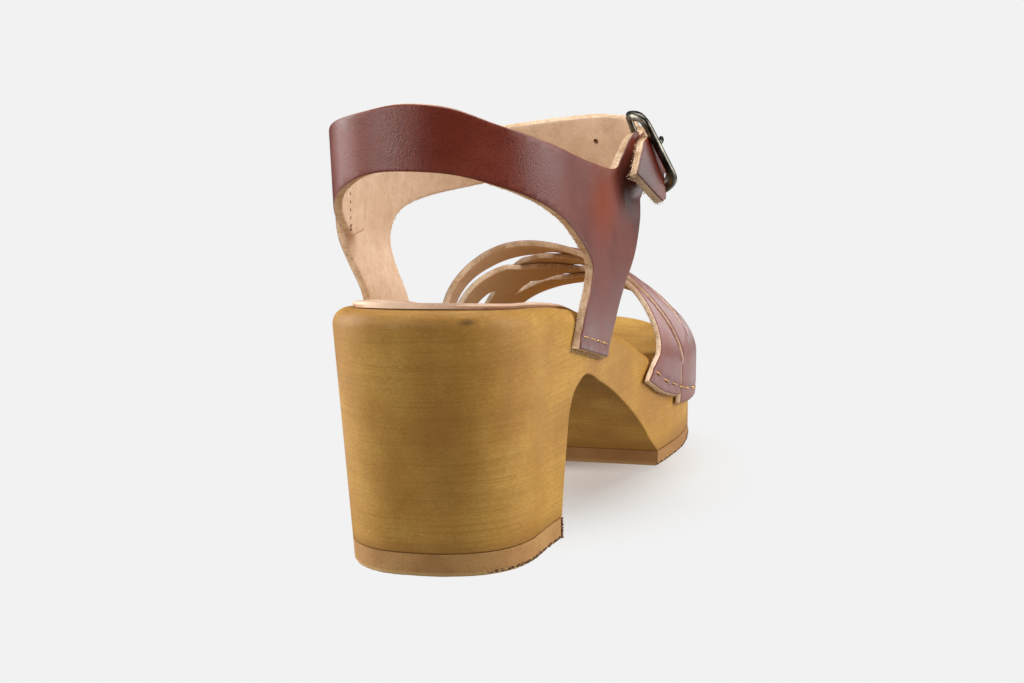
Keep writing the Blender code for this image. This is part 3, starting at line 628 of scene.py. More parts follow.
def side_profile(y, part, share):
    """Inset and height of the sole's side."""
    low, high = under_z(y), rim_z(y)
    if part == "rim":
        a = math.pi / 2 * share
        return RIM_RADIUS * (1 - math.cos(a)), high - RIM_RADIUS * (1 - math.sin(a))
    if part == "foot":
        inset, rise = quarter(SOLE_EDGE, share)
    else:
        inset, rise = 0.0, SOLE_EDGE + (high - RIM_RADIUS - low - SOLE_EDGE) * share
    return inset + max(taper(y, low + rise), 0.0), low + rise


def sole_point(y, stop):
    if stop.part == "bed":
        return footbed_point(y, 2 * stop.share - 1)
    if stop.part == "base":
        inset, z = side_profile(y, "foot", 0.0)
        return outline_point(y, -1, inset, z).lerp(outline_point(y, 1, inset, z), stop.share)
    return outline_point(y, stop.side, *side_profile(y, stop.part, stop.share))


def wrap_grid(ys, round_it, point):
    """A closed body from a place and a stop to a point."""
    count = len(round_it)
    return grid_body(len(ys) - 1, count, lambda i, k: point(ys[i], round_it[k % count]))


print(len(SOLE_STOPS), "stops round the sole")

# %% The sole
SOLE_STATIONS = 170
breast = [HEEL_BREAST_Y + 0.55 * k for k in range(24)] + [TREAD_START_Y]
bm = wrap_grid(stations(0.0, SOLE_LENGTH, SOLE_STATIONS, breast), SOLE_STOPS, sole_point)
piece("sole_wood", bm, WOOD, ["wood_sole"], 32.0)

# %% [markdown]
# ## Walking layers
# Under the heel and under the forefoot lies a layer of tan rubber, glued on and trimmed by hand.  It
# follows the outline of the wood, with a soft lower edge that is a little rough from trimming, so the
# wrapped grid is used again and its edge points are shaken slightly.

# %% Heel lift and forefoot outsole
LAYER_STATIONS = 190
LAYER_EDGE = 0.9
GLUE_LINE = 0.18
TURN_ROUGH = 0.30
LOW_ROUGH = 0.16
WALL_ROUGH = 0.06
NOISE_PER_MM = 0.9
UP_THE_LAYER = stops("turn", 1, 4) + stops("wall", 1, 6) + [Stop("wall", 1, 1.0)]
LAYER_STOPS = stops("under", 0, 16) + UP_THE_LAYER + stops("top", 0, 16)[1:] + inner_side(UP_THE_LAYER)


def layer_point(y, stop, floor, thickness):
    base, top = floor(y), floor(y) + thickness + GLUE_LINE
    if stop.part in ("under", "top"):
        inset, z = (LAYER_EDGE, base) if stop.part == "under" else (0.0, top)
        inner, outer = (outline_point(y, side, inset + taper(y, z), z) for side in (-1, 1))
        return inner.lerp(outer, stop.share if stop.part == "under" else 1 - stop.share)
    if stop.part == "turn":
        inset, rise = quarter(LAYER_EDGE, stop.share)
        rough = TURN_ROUGH
    else:
        inset, rise = 0.0, LAYER_EDGE + (top - base - LAYER_EDGE) * stop.share
        rough = LOW_ROUGH if stop.share < 0.4 else WALL_ROUGH
    z = base + rise
    inset += taper(y, z)
    shake = rough * noise.noise(outline_point(y, stop.side, inset, z) * NOISE_PER_MM)
    return outline_point(y, stop.side, inset - shake, z)


def walking_layer(name, start, end, floor, thickness, node):
    ys = stations(start, end, LAYER_STATIONS)
    bm = wrap_grid(ys, LAYER_STOPS, lambda y, stop: layer_point(y, stop, floor, thickness))
    close_ends(bm)
    piece(name, bm, RUBBER, [node], 35.0)


walking_layer("lift_rubber", 0.0, HEEL_BREAST_Y, lambda y: 0.0, LIFT_THICKNESS, "heel_lift")
walking_layer("outsole_rubber", TREAD_START_Y, SOLE_LENGTH, spring, OUTSOLE_THICKNESS, "forefoot_outsole")

# %% [markdown]
# ## Trimming crumbs
# The knife that trimmed the rubber left dark crumbs hanging on its lower edge, most of all at the outer
# corner of the heel.  Each crumb is a small squashed ball, half sunk in the edge.

# %% Crumbs on the lower edges
HEEL_CRUMBS = 190
CORNER_CRUMBS = 60
TREAD_CRUMBS = 150
draw = random.uniform


def crumb(at, size):
    bm = bmesh.new()
    squash = Matrix.Diagonal([draw(0.6, 1.5), draw(0.6, 1.5), draw(0.5, 1.1), 1.0])
    bmesh.ops.create_icosphere(bm, subdivisions=1, radius=size, matrix=Matrix.Translation(at) @ squash)
    return bm


def layer_edge(y, z):
    """A place on the outer wall of a walking layer."""
    return outline_point(y, 1, taper(y, z) - 0.05, z)


random.seed(5)
crumbs = []
for k in range(HEEL_CRUMBS):
    y = 6.0 + (HEEL_BREAST_Y - 6.4) * random.random() ** 0.8
    crumbs.append(crumb(layer_edge(y, draw(0.65, 1.3)), draw(0.16, 0.42)))
for k in range(CORNER_CRUMBS):
    z = draw(0.6, LIFT_THICKNESS)
    crumbs.append(crumb(layer_edge(HEEL_BREAST_Y - draw(0.0, 0.5), z), draw(0.20, 0.50)))
for k in range(TREAD_CRUMBS):
    y = TREAD_START_Y + 62.0 * random.random()
    crumbs.append(crumb(layer_edge(y, spring(y) + draw(0.65, 1.1)), draw(0.14, 0.34)))
piece("edge_crumbs", together(crumbs), CRUMB, sharp=60.0)

# %% [markdown]
# ## Heel sock
# A thin leather pad is glued on the heel seat, inside the rim.  It is a sheet that follows the footbed,
# with a skived, slightly rounded edge.

# %% Heel sock
SOCK_THICKNESS = 1.8
SOCK_FRONT_Y = 92.0
SOCK_WIDE = 0.95
SOCK_COLUMNS = 80


def sock_point(y, k):
    """Once round the pad: over the top from side to side, then back underneath."""
    half = SOCK_COLUMNS // 2
    top = k <= half
    f = (k / half if top else (SOCK_COLUMNS - k) / half) * 2 - 1
    thin = 0.5 * max(1 - ease((1 - abs(f)) / 0.05), 1 - ease((SOCK_FRONT_Y - y) / 1.2))
    return footbed_point(y, f * SOCK_WIDE, SEAT_GAP + SOCK_THICKNESS * (1 - thin if top else thin))


sock_ys = stations(0.0, SOCK_FRONT_Y, SOLE_STATIONS, [SOCK_FRONT_Y - d for d in (0.4, 0.8, 1.2)])
bm = grid_body(len(sock_ys) - 1, SOCK_COLUMNS, lambda i, k: sock_point(sock_ys[i], k))
piece("sock_pad", bm, SOCK_SKIN, ["heel_sock"], 40.0)

# %% [markdown]
# ## Leather over the forefoot
# Two straps, each slit lengthwise, are woven through each other and stapled to the side of the sole.
# Each starts flat: a grid in which x is the place over the arch and y the place along the shoe.  The
# slit is cut out, the sheet is pulled up to its thickness and its cut edges are rounded while it is
# still flat, where a bevel has an even width.  Only then is it laid over the arch of the foot.  Where
# two strips cross, both are moved apart by half a thickness, so one really passes over the other.

# %% The arch of the foot
Instep = namedtuple("Instep", "y ridge top")
INSTEP = [Instep(*row) for row in (
    (110.0, -9.0, 84.6), (130.0, -10.0, 82.1), (150.0, -10.5, 78.0),
    (170.0, -10.0, 70.6), (190.0, -8.5, 61.6), (212.0, -7.0, 53.6),
)]
INNER_FULLNESS = 2.15
OUTER_FULLNESS = 1.8
WALL_PER_STEP = 20.0


def arch_point(t, y):
    """Middle of the leather over the arch: t is -1 and 1 at the rim, 0 on the ridge."""
    side = 1 if t > 0 else -1
    high = rim_z(y)
    wall = rim_x(y, side) + side * leather_off(y, side)
    if abs(t) >= 1:
        drop = (abs(t) - 1) * WALL_PER_STEP
        return Vector((wall - side * SIDE_TAPER * drop, y, high - drop))
    ridge = along(INSTEP, "ridge", y)
    rise = along(INSTEP, "top", y) - high
    power = 2 / (OUTER_FULLNESS if side > 0 else INNER_FULLNESS)
    angle = math.pi / 2 * (1 - abs(t))
    x = ridge + (wall - ridge) * math.cos(angle) ** power
    return Vector((x, y, high + rise * math.sin(angle) ** power))


def arch_wrap(t, y, out):
    run = arch_point(t + 0.012, y) - arch_point(t - 0.012, y)
    forward = arch_point(t, y + 0.8) - arch_point(t, y - 0.8)
    return arch_point(t, y) + run.cross(forward).normalized() * out


print("top of the arch at 150 mm:", [round(v, 1) for v in arch_point(0.0, 150.0)])

# %% The two slit straps
# Each strap has the edges of its two strips along the arch, and the place where its slit starts and ends.
Row = namedtuple("Row", "t rear slit_rear slit_front front")
Strap = namedtuple("Strap", "rows slit")
STRAPS = {
    "over": Strap([Row(*row) for row in (
        (-1.60, 126.0, 142.5, 146.0, 160.0), (-1.00, 128.5, 144.5, 150.0, 166.0),
        (-0.70, 132.0, 148.0, 158.0, 174.0), (-0.35, 144.0, 160.5, 170.0, 186.0),
        (-0.15, 147.0, 163.5, 176.5, 192.5), (0.10, 149.0, 165.5, 180.0, 196.0),
        (0.40, 151.0, 167.5, 178.0, 194.0), (0.70, 153.5, 169.0, 175.0, 191.0),
        (0.95, 156.0, 170.5, 172.5, 188.0), (1.10, 156.0, 170.5, 172.0, 187.0),
        (1.75, 154.0, 170.0, 171.5, 186.0),
    )], (-1.0, 0.85)),
    "under": Strap([Row(*row) for row in (
        (-1.60, 187.0, 198.5, 200.0, 211.0), (-1.00, 188.0, 199.0, 200.5, 212.0),
        (-0.60, 184.5, 198.0, 200.5, 212.0), (-0.35, 178.5, 194.0, 199.0, 211.0),
        (-0.15, 171.5, 188.0, 196.0, 208.5), (0.10, 163.5, 180.0, 189.0, 202.5),
        (0.40, 152.5, 168.5, 175.0, 189.0), (0.70, 142.0, 157.0, 159.5, 172.5),
        (0.90, 136.5, 150.0, 151.5, 161.5), (1.00, 133.5, 146.5, 148.0, 156.0),
        (1.60, 123.5, 137.0, 138.5, 154.3),
    )], (-0.5, 0.55)),
}
STRAP_LEATHER = 2.2
SLIT_FADE = 0.12
SLIT_LEFT = 0.10
WEAVE_RISE = 1.15
SIDE_RISE = 0.45
WEAVE_REACH = 6.0
CUT_ROUND = 0.5
ARCH_STEP = 62.0
STRIP_COLUMNS = 9
STRAP_CELLS = 190


def flat_x(t):
    """Flat place of t: the arch is about 62 mm from ridge to rim, the wall 20 mm a step."""
    return math.copysign(min(abs(t), 1) * ARCH_STEP + max(abs(t) - 1, 0) * WALL_PER_STEP, t)


def flat_t(x):
    return math.copysign(min(abs(x) / ARCH_STEP, 1) + max(abs(x) - ARCH_STEP, 0) / WALL_PER_STEP, x)


def strips(sheet, t):
    """The two strips of a strap as (low, high); the slit closes nearly to a point at its ends."""
    rows, slit = STRAPS[sheet]
    rear, front = along(rows, "slit_rear", t), along(rows, "slit_front", t)
    middle = (rear + front) / 2
    inside = min(ease((t - slit[0]) / SLIT_FADE), ease((slit[1] - t) / SLIT_FADE))
    opening = SLIT_LEFT + (1 - SLIT_LEFT) * inside
    low, high = middle + (rear - middle) * opening, middle + (front - middle) * opening
    return (along(rows, "rear", t), low), (high, along(rows, "front", t))


def covered(strip, t, y):
    """1 inside a strip, falling to 0 beside it; on the wall the strips lie flat side by side."""
    reach = 0.4 + WEAVE_REACH * (1 - ease((abs(t) - 0.78) / 0.2))
    inside = min(y - strip[0], strip[1] - y)
    return ease((inside + reach) / reach) * (1 - ease((abs(t) - 0.97) / 0.12))


def weave(sheet, strip, t, y):
    """How far a strip is moved out at its crossings; only the front over strip dives under."""
    over = sheet == "over"
    rise = 0.0
    for k, span in enumerate(strips("under" if over else "over", t)):
        dives = (strip, k) == ((1, 0) if over else (0, 1))
        rise += (-1 if dives else 1) * covered(span, t, y)
    rise = max(-1.0, min(1.0, rise))
    size = WEAVE_RISE + (SIDE_RISE - WEAVE_RISE) * ease((t - 0.35) / 0.3)
    near_wall = ease((abs(t) - 0.90) / 0.14)
    return rise * size * (1 + near_wall) if over else -rise * size * (1 - near_wall)


print("flat length of the over strap:", round(flat_x(1.75) - flat_x(-1.6)), "mm")


# %% Cutting a flat sheet
def round_cut_edges(bm, width):
    """Round the edges between the flat faces and the cut walls of a flat sheet."""
    bm.normal_update()
    edges = []
    for edge in bm.edges:
        level = [abs(face.normal.z) > 0.9 for face in edge.link_faces]
        if len(level) == 2 and level[0] != level[1]:
            edges.append(edge)
    bmesh.ops.bevel(bm, geom=edges, offset=width, offset_type="OFFSET", segments=3, profile=0.5,
                    affect="EDGES", material=-1, clamp_overlap=True, loop_slide=False)


def thicken(bm, thickness):
    made = bmesh.ops.extrude_face_region(bm, geom=bm.faces[:])
    top = [item for item in made["geom"] if isinstance(item, bmesh.types.BMVert)]
    bmesh.ops.translate(bm, vec=(0, 0, thickness), verts=top)
    outward(bm)


def store_skin(bm, skin_of):
    """Keep where each point lies in the thickness of the leather."""
    layer = bm.verts.layers.float.new("skin")
    for vert in bm.verts:
        vert[layer] = max(-1.0, min(1.0, skin_of(vert.co)))


def flat_strap(sheet):
    rows, slit = STRAPS[sheet]
    columns = 2 * STRIP_COLUMNS + 1
    bm = bmesh.new()
    bmesh.ops.create_grid(bm, x_segments=STRAP_CELLS, y_segments=columns, size=1.0)
    first, last = flat_x(rows[0].t), flat_x(rows[-1].t)
    gone = []
    for face in bm.faces:
        middle = face.calc_center_median()
        t = flat_t(first + (last - first) * (middle.x + 1) / 2)
        if slit[0] < t < slit[1] and abs(middle.y) < 1 / columns:
            gone.append(face)
    for vert in bm.verts:
        x = first + (last - first) * (vert.co.x + 1) / 2
        column = round((vert.co.y + 1) / 2 * columns)
        rear, front = strips(sheet, flat_t(x))
        low, high = rear if column <= STRIP_COLUMNS else front
        share = (column if column <= STRIP_COLUMNS else column - STRIP_COLUMNS - 1) / STRIP_COLUMNS
        vert.co = Vector((x, low + (high - low) * share, LEATHER / 2 - STRAP_LEATHER))
    bmesh.ops.delete(bm, geom=gone, context="FACES")
    thicken(bm, STRAP_LEATHER)
    round_cut_edges(bm, CUT_ROUND)
    return bm


print("cutting tools ready")

# %% Staple lines
# Each line runs from one place to another on its sheet; the leather is pressed down along it.
Line = namedtuple("Line", "sheet start end staples")
STAPLE_LINES = (
    Line("over", (1.47, 154.6), (1.67, 184.5), 5),
    Line("over", (-1.38, 128.6), (-1.38, 158.4), 5),
    Line("under", (1.335, 131.6), (1.42, 149.2), 3),
    Line("under", (-1.38, 189.0), (-1.38, 210.0), 4),
    Line("back", (74.6, 62.4), (96.4, 56.0), 4),
    Line("ankle", (33.0, 62.8), (57.5, 57.0), 4),
)
FIRST_STAPLE = 0.07
STAPLE_SPAN = 0.86
PRESS = 0.55
PUFF = 0.12
SKIVE = 0.65


def from_line(line, a, b, scale):
    """How far a place is from a staple line, how far along it (0 to 1), and 1 if it is on the tab's end."""
    start = Vector((line.start[0] * scale, line.start[1]))
    run = Vector((line.end[0] * scale, line.end[1])) - start
    offset = Vector((a * scale, b)) - start
    share = offset.dot(run) / run.length_squared
    turn = run.x * offset.y - run.y * offset.x
    return (offset - run * share).length, share, -1 if turn * line.start[0] > 0 else 1


def pressed(sheet, a, b, scale=1.0):
    """How deep the leather is pressed by the staples of its sheet."""
    depth = 0.0
    for line in STAPLE_LINES:
        if line.sheet == sheet and a * line.start[0] > 0:
            away, share, side = from_line(line, a, b, scale)
            if -0.3 < share < 1.3:
                wave = math.cos(2 * math.pi * (share - FIRST_STAPLE) / STAPLE_SPAN * (line.staples - 1))
                depth += PRESS * hill(away, 1.1) * (0.75 + 0.25 * wave)
                depth -= PUFF * hill(away - 3.0 * side, 1.7) * (0.5 - 0.5 * wave)
    return depth


def slant(distance, out, thickness):
    """How far a slanted cut carries a point past the tab's end; the flesh side goes furthest."""
    return SKIVE * (LEATHER / 2 - out) / thickness * (1 - ease((distance - 0.2) / 2.2))


def in_sheet(thickness):
    """Place in the thickness of a flat sheet, whose outside is at half a LEATHER: 1 outside, -1 inside."""
    return lambda p: 1 - 2 * (LEATHER / 2 - p.z) / thickness


def lay_strap(sheet):
    bm = flat_strap(sheet)
    store_skin(bm, in_sheet(STRAP_LEATHER))
    rows = STRAPS[sheet].rows
    first, last = flat_x(rows[0].t), flat_x(rows[-1].t)
    for vert in bm.verts:
        x, y, out = vert.co
        t = flat_t(x + slant(last - x, out, STRAP_LEATHER) - slant(x - first, out, STRAP_LEATHER))
        rear, front = strips(sheet, t)
        strip = 0 if y < (rear[1] + front[0]) / 2 else 1
        level = out + weave(sheet, strip, t, y)
        if abs(t) > 1.0 and out > 0:
            level -= pressed(sheet, t, y, WALL_PER_STEP)
        vert.co = arch_wrap(t, y, level)
    outward(bm)
    piece("forefoot_strap_" + sheet, bm, LEATHER_SKIN, ["vamp_straps"])


for sheet in STRAPS:
    lay_strap(sheet)

# %% [markdown]
# ## Band round the heel and strap over the instep
# Both are cut flat and then bent, like the real ones.  The outline is a closed curve with a few sharp
# corners.  It becomes one face, is pulled up to the thickness of the leather, gets its rounded rim and
# is only then cut into a fine net, so the sheet can bend smoothly.  Each point knows where it lies on
# the flat pattern; a wrap moves it to its place on the foot.

# %% Paths round the foot
BAND_MIDDLE_X = 2.2
BAND_HALF_WIDTH = 34.2
BAND_BACK_Y = 3.5
BAND_DEPTH = 52.0
BAND_POWER = 2.5
BAND_SIDE = [(37.0, 80.0), (37.8, 100.0), (38.6, 115.0), (39.4, 130.0)]
BAND_LEAN_FROM_Y = 70.0
BAND_LEAN_TO_Y = 118.0
BAND_LEAN = 0.10
BAND_LEAN_Z = 92.0
LEG_BLEND = 26.0
ANKLE = (
    (-33.5, 22.0), (-35.2, 40.0), (-35.8, 60.0), (-35.6, 80.0), (-34.2, 98.0), (-29.0, 116.0),
    (-18.0, 131.0), (-2.0, 139.5), (14.0, 141.5), (28.0, 139.0), (38.3, 133.7), (43.5, 124.4),
    (45.6, 114.1), (45.4, 105.0), (43.8, 96.0), (41.5, 87.0),
)
ANKLE_MIDDLE_Z = 113.0
Lean = namedtuple("Lean", "u slope")
ANKLE_LEAN = [Lean(*row) for row in ((0, 0.0), (60, 0.06), (100, 0.2), (140, 0.42), (180, 0.36), (230, 0.33))]


def curve_point(p0, p1, p2, p3, f):
    p0, p1, p2, p3 = (Vector(p) for p in (p0, p1, p2, p3))
    bend = (2 * p0 - 5 * p1 + 4 * p2 - p3) * f * f + (3 * p1 - p0 - 3 * p2 + p3) * f ** 3
    return 0.5 * (2 * p1 + (p2 - p0) * f + bend)


def measured(points):
    """A line of points with their distances from its start."""
    lengths = [0.0]
    for a, b in zip(points, points[1:]):
        lengths.append(lengths[-1] + (b - a).length)
    return points, lengths


def polyline(knots, step):
    """A smooth measured line through the knots."""
    points = []
    for i in range(len(knots) - 1):
        p0, p1, p2, p3 = (knots[min(max(i + k, 0), len(knots) - 1)] for k in (-1, 0, 1, 2))
        points += [curve_point(p0, p1, p2, p3, k / step) for k in range(step)]
    return measured(points + [Vector(knots[-1])])


def band_half(side):
    knots = []
    for k in range(15):
        a = math.pi / 2 * k / 14
        x = BAND_MIDDLE_X + side * BAND_HALF_WIDTH * math.sin(a) ** (2 / BAND_POWER)
        y = BAND_BACK_Y + BAND_DEPTH * (1 - max(math.cos(a), 0.0) ** (2 / BAND_POWER))
        knots.append((x, y))
    return polyline(knots + BAND_SIDE if side > 0 else knots, 10)


BAND_PATH = {side: band_half(side) for side in (1, -1)}
ANKLE_PATH = polyline(ANKLE, 16)


def on_path(path, distance):
    points, lengths = path
    i = min(max(bisect_right(lengths, distance) - 1, 0), len(points) - 2)
    f = (distance - lengths[i]) / (lengths[i + 1] - lengths[i])
    return points[i].lerp(points[i + 1], f)


def path_frame(path, distance):
    run = on_path(path, distance + 2.5) - on_path(path, distance - 2.5)
    return on_path(path, distance), run.normalized()


print("band", round(BAND_PATH[1][1][-1]), "mm on the outer side, strap", round(ANKLE_PATH[1][-1]), "mm")

# %% The buckle's own axes
# The buckle stands on its edge at the outer ankle: forward to the instep, up, and out from the foot.
BUCKLE_CENTRE = Vector((39.5, 123.0, 113.0))
BUCKLE_FORWARD = Vector((-0.33, 0.93, 0.18)).normalized()
BUCKLE_UP = Vector((-0.31, -0.08, 0.947))
BUCKLE_UP = (BUCKLE_UP - BUCKLE_FORWARD * BUCKLE_UP.dot(BUCKLE_FORWARD)).normalized()
BUCKLE_OUT = BUCKLE_FORWARD.cross(BUCKLE_UP)
Lie = namedtuple("Lie", "forward out")
STRAP_LIE = [Lie(*row) for row in (
    (-32.0, -9.0), (-25.0, -4.8), (-20.0, -2.0), (-15.0, 0.7), (-9.0, 3.1), (0.0, 4.95),
    (7.0, 2.1), (12.0, 0.6), (22.0, 0.4),
)]
STRAP_BAR_U = 185.5
BAND_BAR_U = 139.0
STRAP_TURN_START = 30.0
STRAP_TURN_LENGTH = 18.0
TAB_TURN_U = 118.0
TAB_TURN_LENGTH = 17.0
TAB_TURN_Z = 98.5
TAB_TURN_HEIGHT = 7.0


def buckle_place(forward, up, out):
    return BUCKLE_CENTRE + BUCKLE_FORWARD * forward + BUCKLE_UP * up + BUCKLE_OUT * out


def in_buckle(ahead, z, out):
    """The same for a place whose height is known in the shoe."""
    return buckle_place(ahead, z - BUCKLE_CENTRE.z - BUCKLE_FORWARD.z * ahead, out)


print("buckle looks out along", [round(v, 2) for v in BUCKLE_OUT])


# %% Bending the flat sheets
def on_leg(at, out_dir, side, z):
    """Bring the wall to the side of the sole where a leg comes down to it."""
    share = 1 - ease((z - rim_z(at.y) - 1.0) / LEG_BLEND)
    off = leather_off(at.y, side) - SIDE_TAPER * max(rim_z(at.y) - z, 0.0)
    bent = at.lerp(Vector((rim_x(at.y, side) + side * off, at.y)), share)
    return bent, out_dir.lerp(Vector((float(side), 0.0)), share).normalized()


def back_wrap(u, z, out):
    side = 1 if u >= 0 else -1
    if abs(u) < 2.5:
        at, out_dir = Vector((BAND_MIDDLE_X + u, BAND_BACK_Y)), Vector((0.0, -1.0))
    else:
        at, run = path_frame(BAND_PATH[side], abs(u))
        out_dir = Vector((side * run.y, -side * run.x))
    if side > 0:
        at, out_dir = on_leg(at, out_dir, 1, z) if at.y > 45 else (at, out_dir)
        lean = BAND_LEAN * ease((at.y - BAND_LEAN_FROM_Y) / (BAND_LEAN_TO_Y - BAND_LEAN_FROM_Y))
        at = at - out_dir * lean * max(z - BAND_LEAN_Z, 0.0)
    flat = at + out_dir * out
    wall = Vector((flat.x, flat.y, z))
    share = ease((u - TAB_TURN_U) / TAB_TURN_LENGTH) * ease((z - TAB_TURN_Z) / TAB_TURN_HEIGHT)
    return wall.lerp(in_buckle(u - BAND_BAR_U, z, out), share)


def ankle_wrap(u, z, out):
    at, run = path_frame(ANKLE_PATH, u)
    out_dir = Vector((-run.y, run.x))
    lean = along(ANKLE_LEAN, "slope", u)
    at = at + out_dir * lean * (ANKLE_MIDDLE_Z - z)
    if u < 75:
        at, out_dir = on_leg(at, out_dir, -1, z)
    tilt = 1 / math.hypot(1.0, lean)
    flat = at + out_dir * out * tilt
    wall = Vector((flat.x, flat.y, z + out * lean * tilt))
    ahead = STRAP_BAR_U - u
    share = 1 - ease((ahead - STRAP_TURN_START + STRAP_TURN_LENGTH) / STRAP_TURN_LENGTH)
    return wall.lerp(in_buckle(ahead, z, along(STRAP_LIE, "out", ahead) + out), share)


print("middle of the heel band:", [round(v, 1) for v in back_wrap(0.0, 129.0, 0.0)])

# %% Patterns
# Each row is a place on the outline, u along the sheet and z up; True marks a sharp corner.
Edge = namedtuple("Edge", "u z corner", defaults=(False,))
BACK_PATTERN = [Edge(*row) for row in (
    (-63.5, 120.6, True), (-56.5, 123.4), (-45.0, 127.5), (-28.0, 133.0), (-11.5, 136.8), (1.3, 138.9),
    (15.0, 137.4), (29.1, 131.7), (50.6, 124.7), (74.3, 118.3), (96.5, 113.3), (112.0, 111.0),
    (119.0, 113.5), (125.0, 119.5), (130.0, 121.5), (137.5, 121.0, True), (137.5, 105.5, True),
    (135.0, 101.0), (133.0, 94.0), (126.5, 82.0), (114.5, 70.6), (104.5, 60.5), (97.0, 51.5, True),
    (70.0, 59.5, True), (76.0, 71.0), (81.5, 77.6), (82.6, 85.2), (67.1, 96.8), (46.5, 107.0),
    (28.3, 114.2), (14.2, 118.7), (0.2, 119.9), (-9.2, 119.2), (-17.1, 116.6), (-30.0, 110.5),
    (-45.0, 101.5), (-54.0, 97.0), (-63.5, 97.0, True),
)]
ANKLE_PATTERN = [Edge(*row) for row in (
    (20.0, 122.0, True), (38.0, 119.5), (60.0, 118.5), (90.0, 119.5), (115.0, 122.0), (140.0, 124.4),
    (160.0, 125.2), (180.0, 120.7), (192.0, 119.6), (200.0, 118.4, True), (210.2, 110.2, True),
    (203.4, 98.9), (201.6, 97.0), (199.4, 97.2), (197.6, 99.8), (195.5, 103.2), (192.0, 104.9),
    (180.0, 105.6), (160.0, 106.3), (135.0, 105.2), (105.0, 102.2), (86.0, 101.0), (72.0, 99.6),
    (61.5, 96.5), (57.2, 90.0), (56.5, 80.0), (57.5, 68.5), (60.0, 53.0, True), (30.0, 60.0, True),
    (28.5, 75.0), (23.5, 86.0), (19.0, 96.0), (18.5, 108.0),
)]
# The stretch of each outline that is cut at a slant: the front of the band's leg, the end of the strap's.
BACK_SLANT = BACK_PATTERN[21:23]
ANKLE_SLANT = ANKLE_PATTERN[27:29]
OUTLINE_STEP = 1.6
CELL = 2.3


def pattern_outline(rows):
    points = []
    count = len(rows)
    for i, row in enumerate(rows):
        following, after = rows[(i + 1) % count], rows[(i + 2) % count]
        p1, p2 = (row.u, row.z), (following.u, following.z)
        steps = max(1, round(math.dist(p1, p2) / OUTLINE_STEP))
        p0 = (2 * p1[0] - p2[0], 2 * p1[1] - p2[1]) if row.corner else rows[i - 1][:2]
        p3 = (2 * p2[0] - p1[0], 2 * p2[1] - p1[1]) if following.corner else after[:2]
        points += [curve_point(p0, p1, p2, p3, k / steps) for k in range(steps)]
    return points


def cut_net(bm, step):
    """Cut a flat sheet along an even net."""
    for axis, normal in ((0, Vector((1, 0, 0))), (1, Vector((0, 1, 0)))):
        low, high = (pick(v.co[axis] for v in bm.verts) for pick in (min, max))
        cuts = round((high - low) / step)
        for k in range(1, cuts):
            at = normal * (low + (high - low) * (k + 0.137) / cuts)
            bmesh.ops.bisect_plane(bm, geom=bm.verts[:] + bm.edges[:] + bm.faces[:], dist=0.03,
                                   plane_co=at, plane_no=normal)


def flat_pattern(rows):
    bm = bmesh.new()
    bm.faces.new([bm.verts.new((p.x, p.y, -LEATHER / 2)) for p in pattern_outline(rows)])
    thicken(bm, LEATHER)
    round_cut_edges(bm, CUT_ROUND)
    cut_net(bm, CELL)
    return bm


def slanted(u, z, out, ends):
    """The height of a point near a stretch of outline that was cut at a slant."""
    low, high = ends
    f = (u - low.u) / (high.u - low.u)
    return z - slant(z - low.z - (high.z - low.z) * f, out, LEATHER) if -0.2 < f < 1.2 else z


def bend_sheet(bm, sheet, wrap, ends):
    store_skin(bm, in_sheet(LEATHER))
    for vert in bm.verts:
        u, z, out = vert.co
        level = out - pressed(sheet, u, z) if out > 0 else out
        vert.co = wrap(u, slanted(u, z, out, ends), level)
    outward(bm)


print("patterns:", len(BACK_PATTERN), "and", len(ANKLE_PATTERN), "rows")

# %% Band round the heel, its end rolled round the bar
FOLD_RADIUS = 2.8
FOLD_BORE = 1.4
FOLD_HALF_HEIGHT = 7.5
FOLD_ROUND = 0.45
FOLD_SIDES = 36
EYE_SLOT_HALF = 1.5


def from_bar(p):
    """Place in the thickness of the rolled leather."""
    offset = p - BUCKLE_CENTRE
    radius = math.hypot(offset.dot(BUCKLE_FORWARD), offset.dot(BUCKLE_OUT))
    return 2 * (radius - FOLD_BORE) / (FOLD_RADIUS - FOLD_BORE) - 1


def fold_sleeve(low, high):
    """One half of the tab's end; the prong's eye sits between the halves."""
    rounded = FOLD_RADIUS - FOLD_ROUND
    shape = [(FOLD_BORE, low), (rounded, low), (FOLD_RADIUS, low + FOLD_ROUND),
             (FOLD_RADIUS, high - FOLD_ROUND), (rounded, high), (FOLD_BORE, high)]

    def rolled(i, k):
        a = 2 * math.pi * i / FOLD_SIDES
        radius, height = shape[k % len(shape)]
        return buckle_place(radius * math.cos(a), height, radius * math.sin(a))

    sleeve = grid_body(FOLD_SIDES, len(shape), rolled)
    store_skin(sleeve, from_bar)
    return sleeve


bm = flat_pattern(BACK_PATTERN)
bend_sheet(bm, "back", back_wrap, BACK_SLANT)
halves = ((EYE_SLOT_HALF, FOLD_HALF_HEIGHT), (-FOLD_HALF_HEIGHT, -EYE_SLOT_HALF))
bm = together([bm] + [fold_sleeve(low, high) for low, high in halves])
piece("heel_band", bm, LEATHER_SKIN, ["back_strap"])

# %% Strap over the instep, with its punched holes
Hole = namedtuple("Hole", "u z radius top")
PRONG_HOLE = Hole(STRAP_BAR_U - 3.8, 113.0 + BUCKLE_FORWARD.z * 3.8, 2.1, 4.5)
STRAP_HOLES = (PRONG_HOLE, Hole(152.9, 116.6, 1.0, 0.9))
PUNCH_LENGTH = 9.0


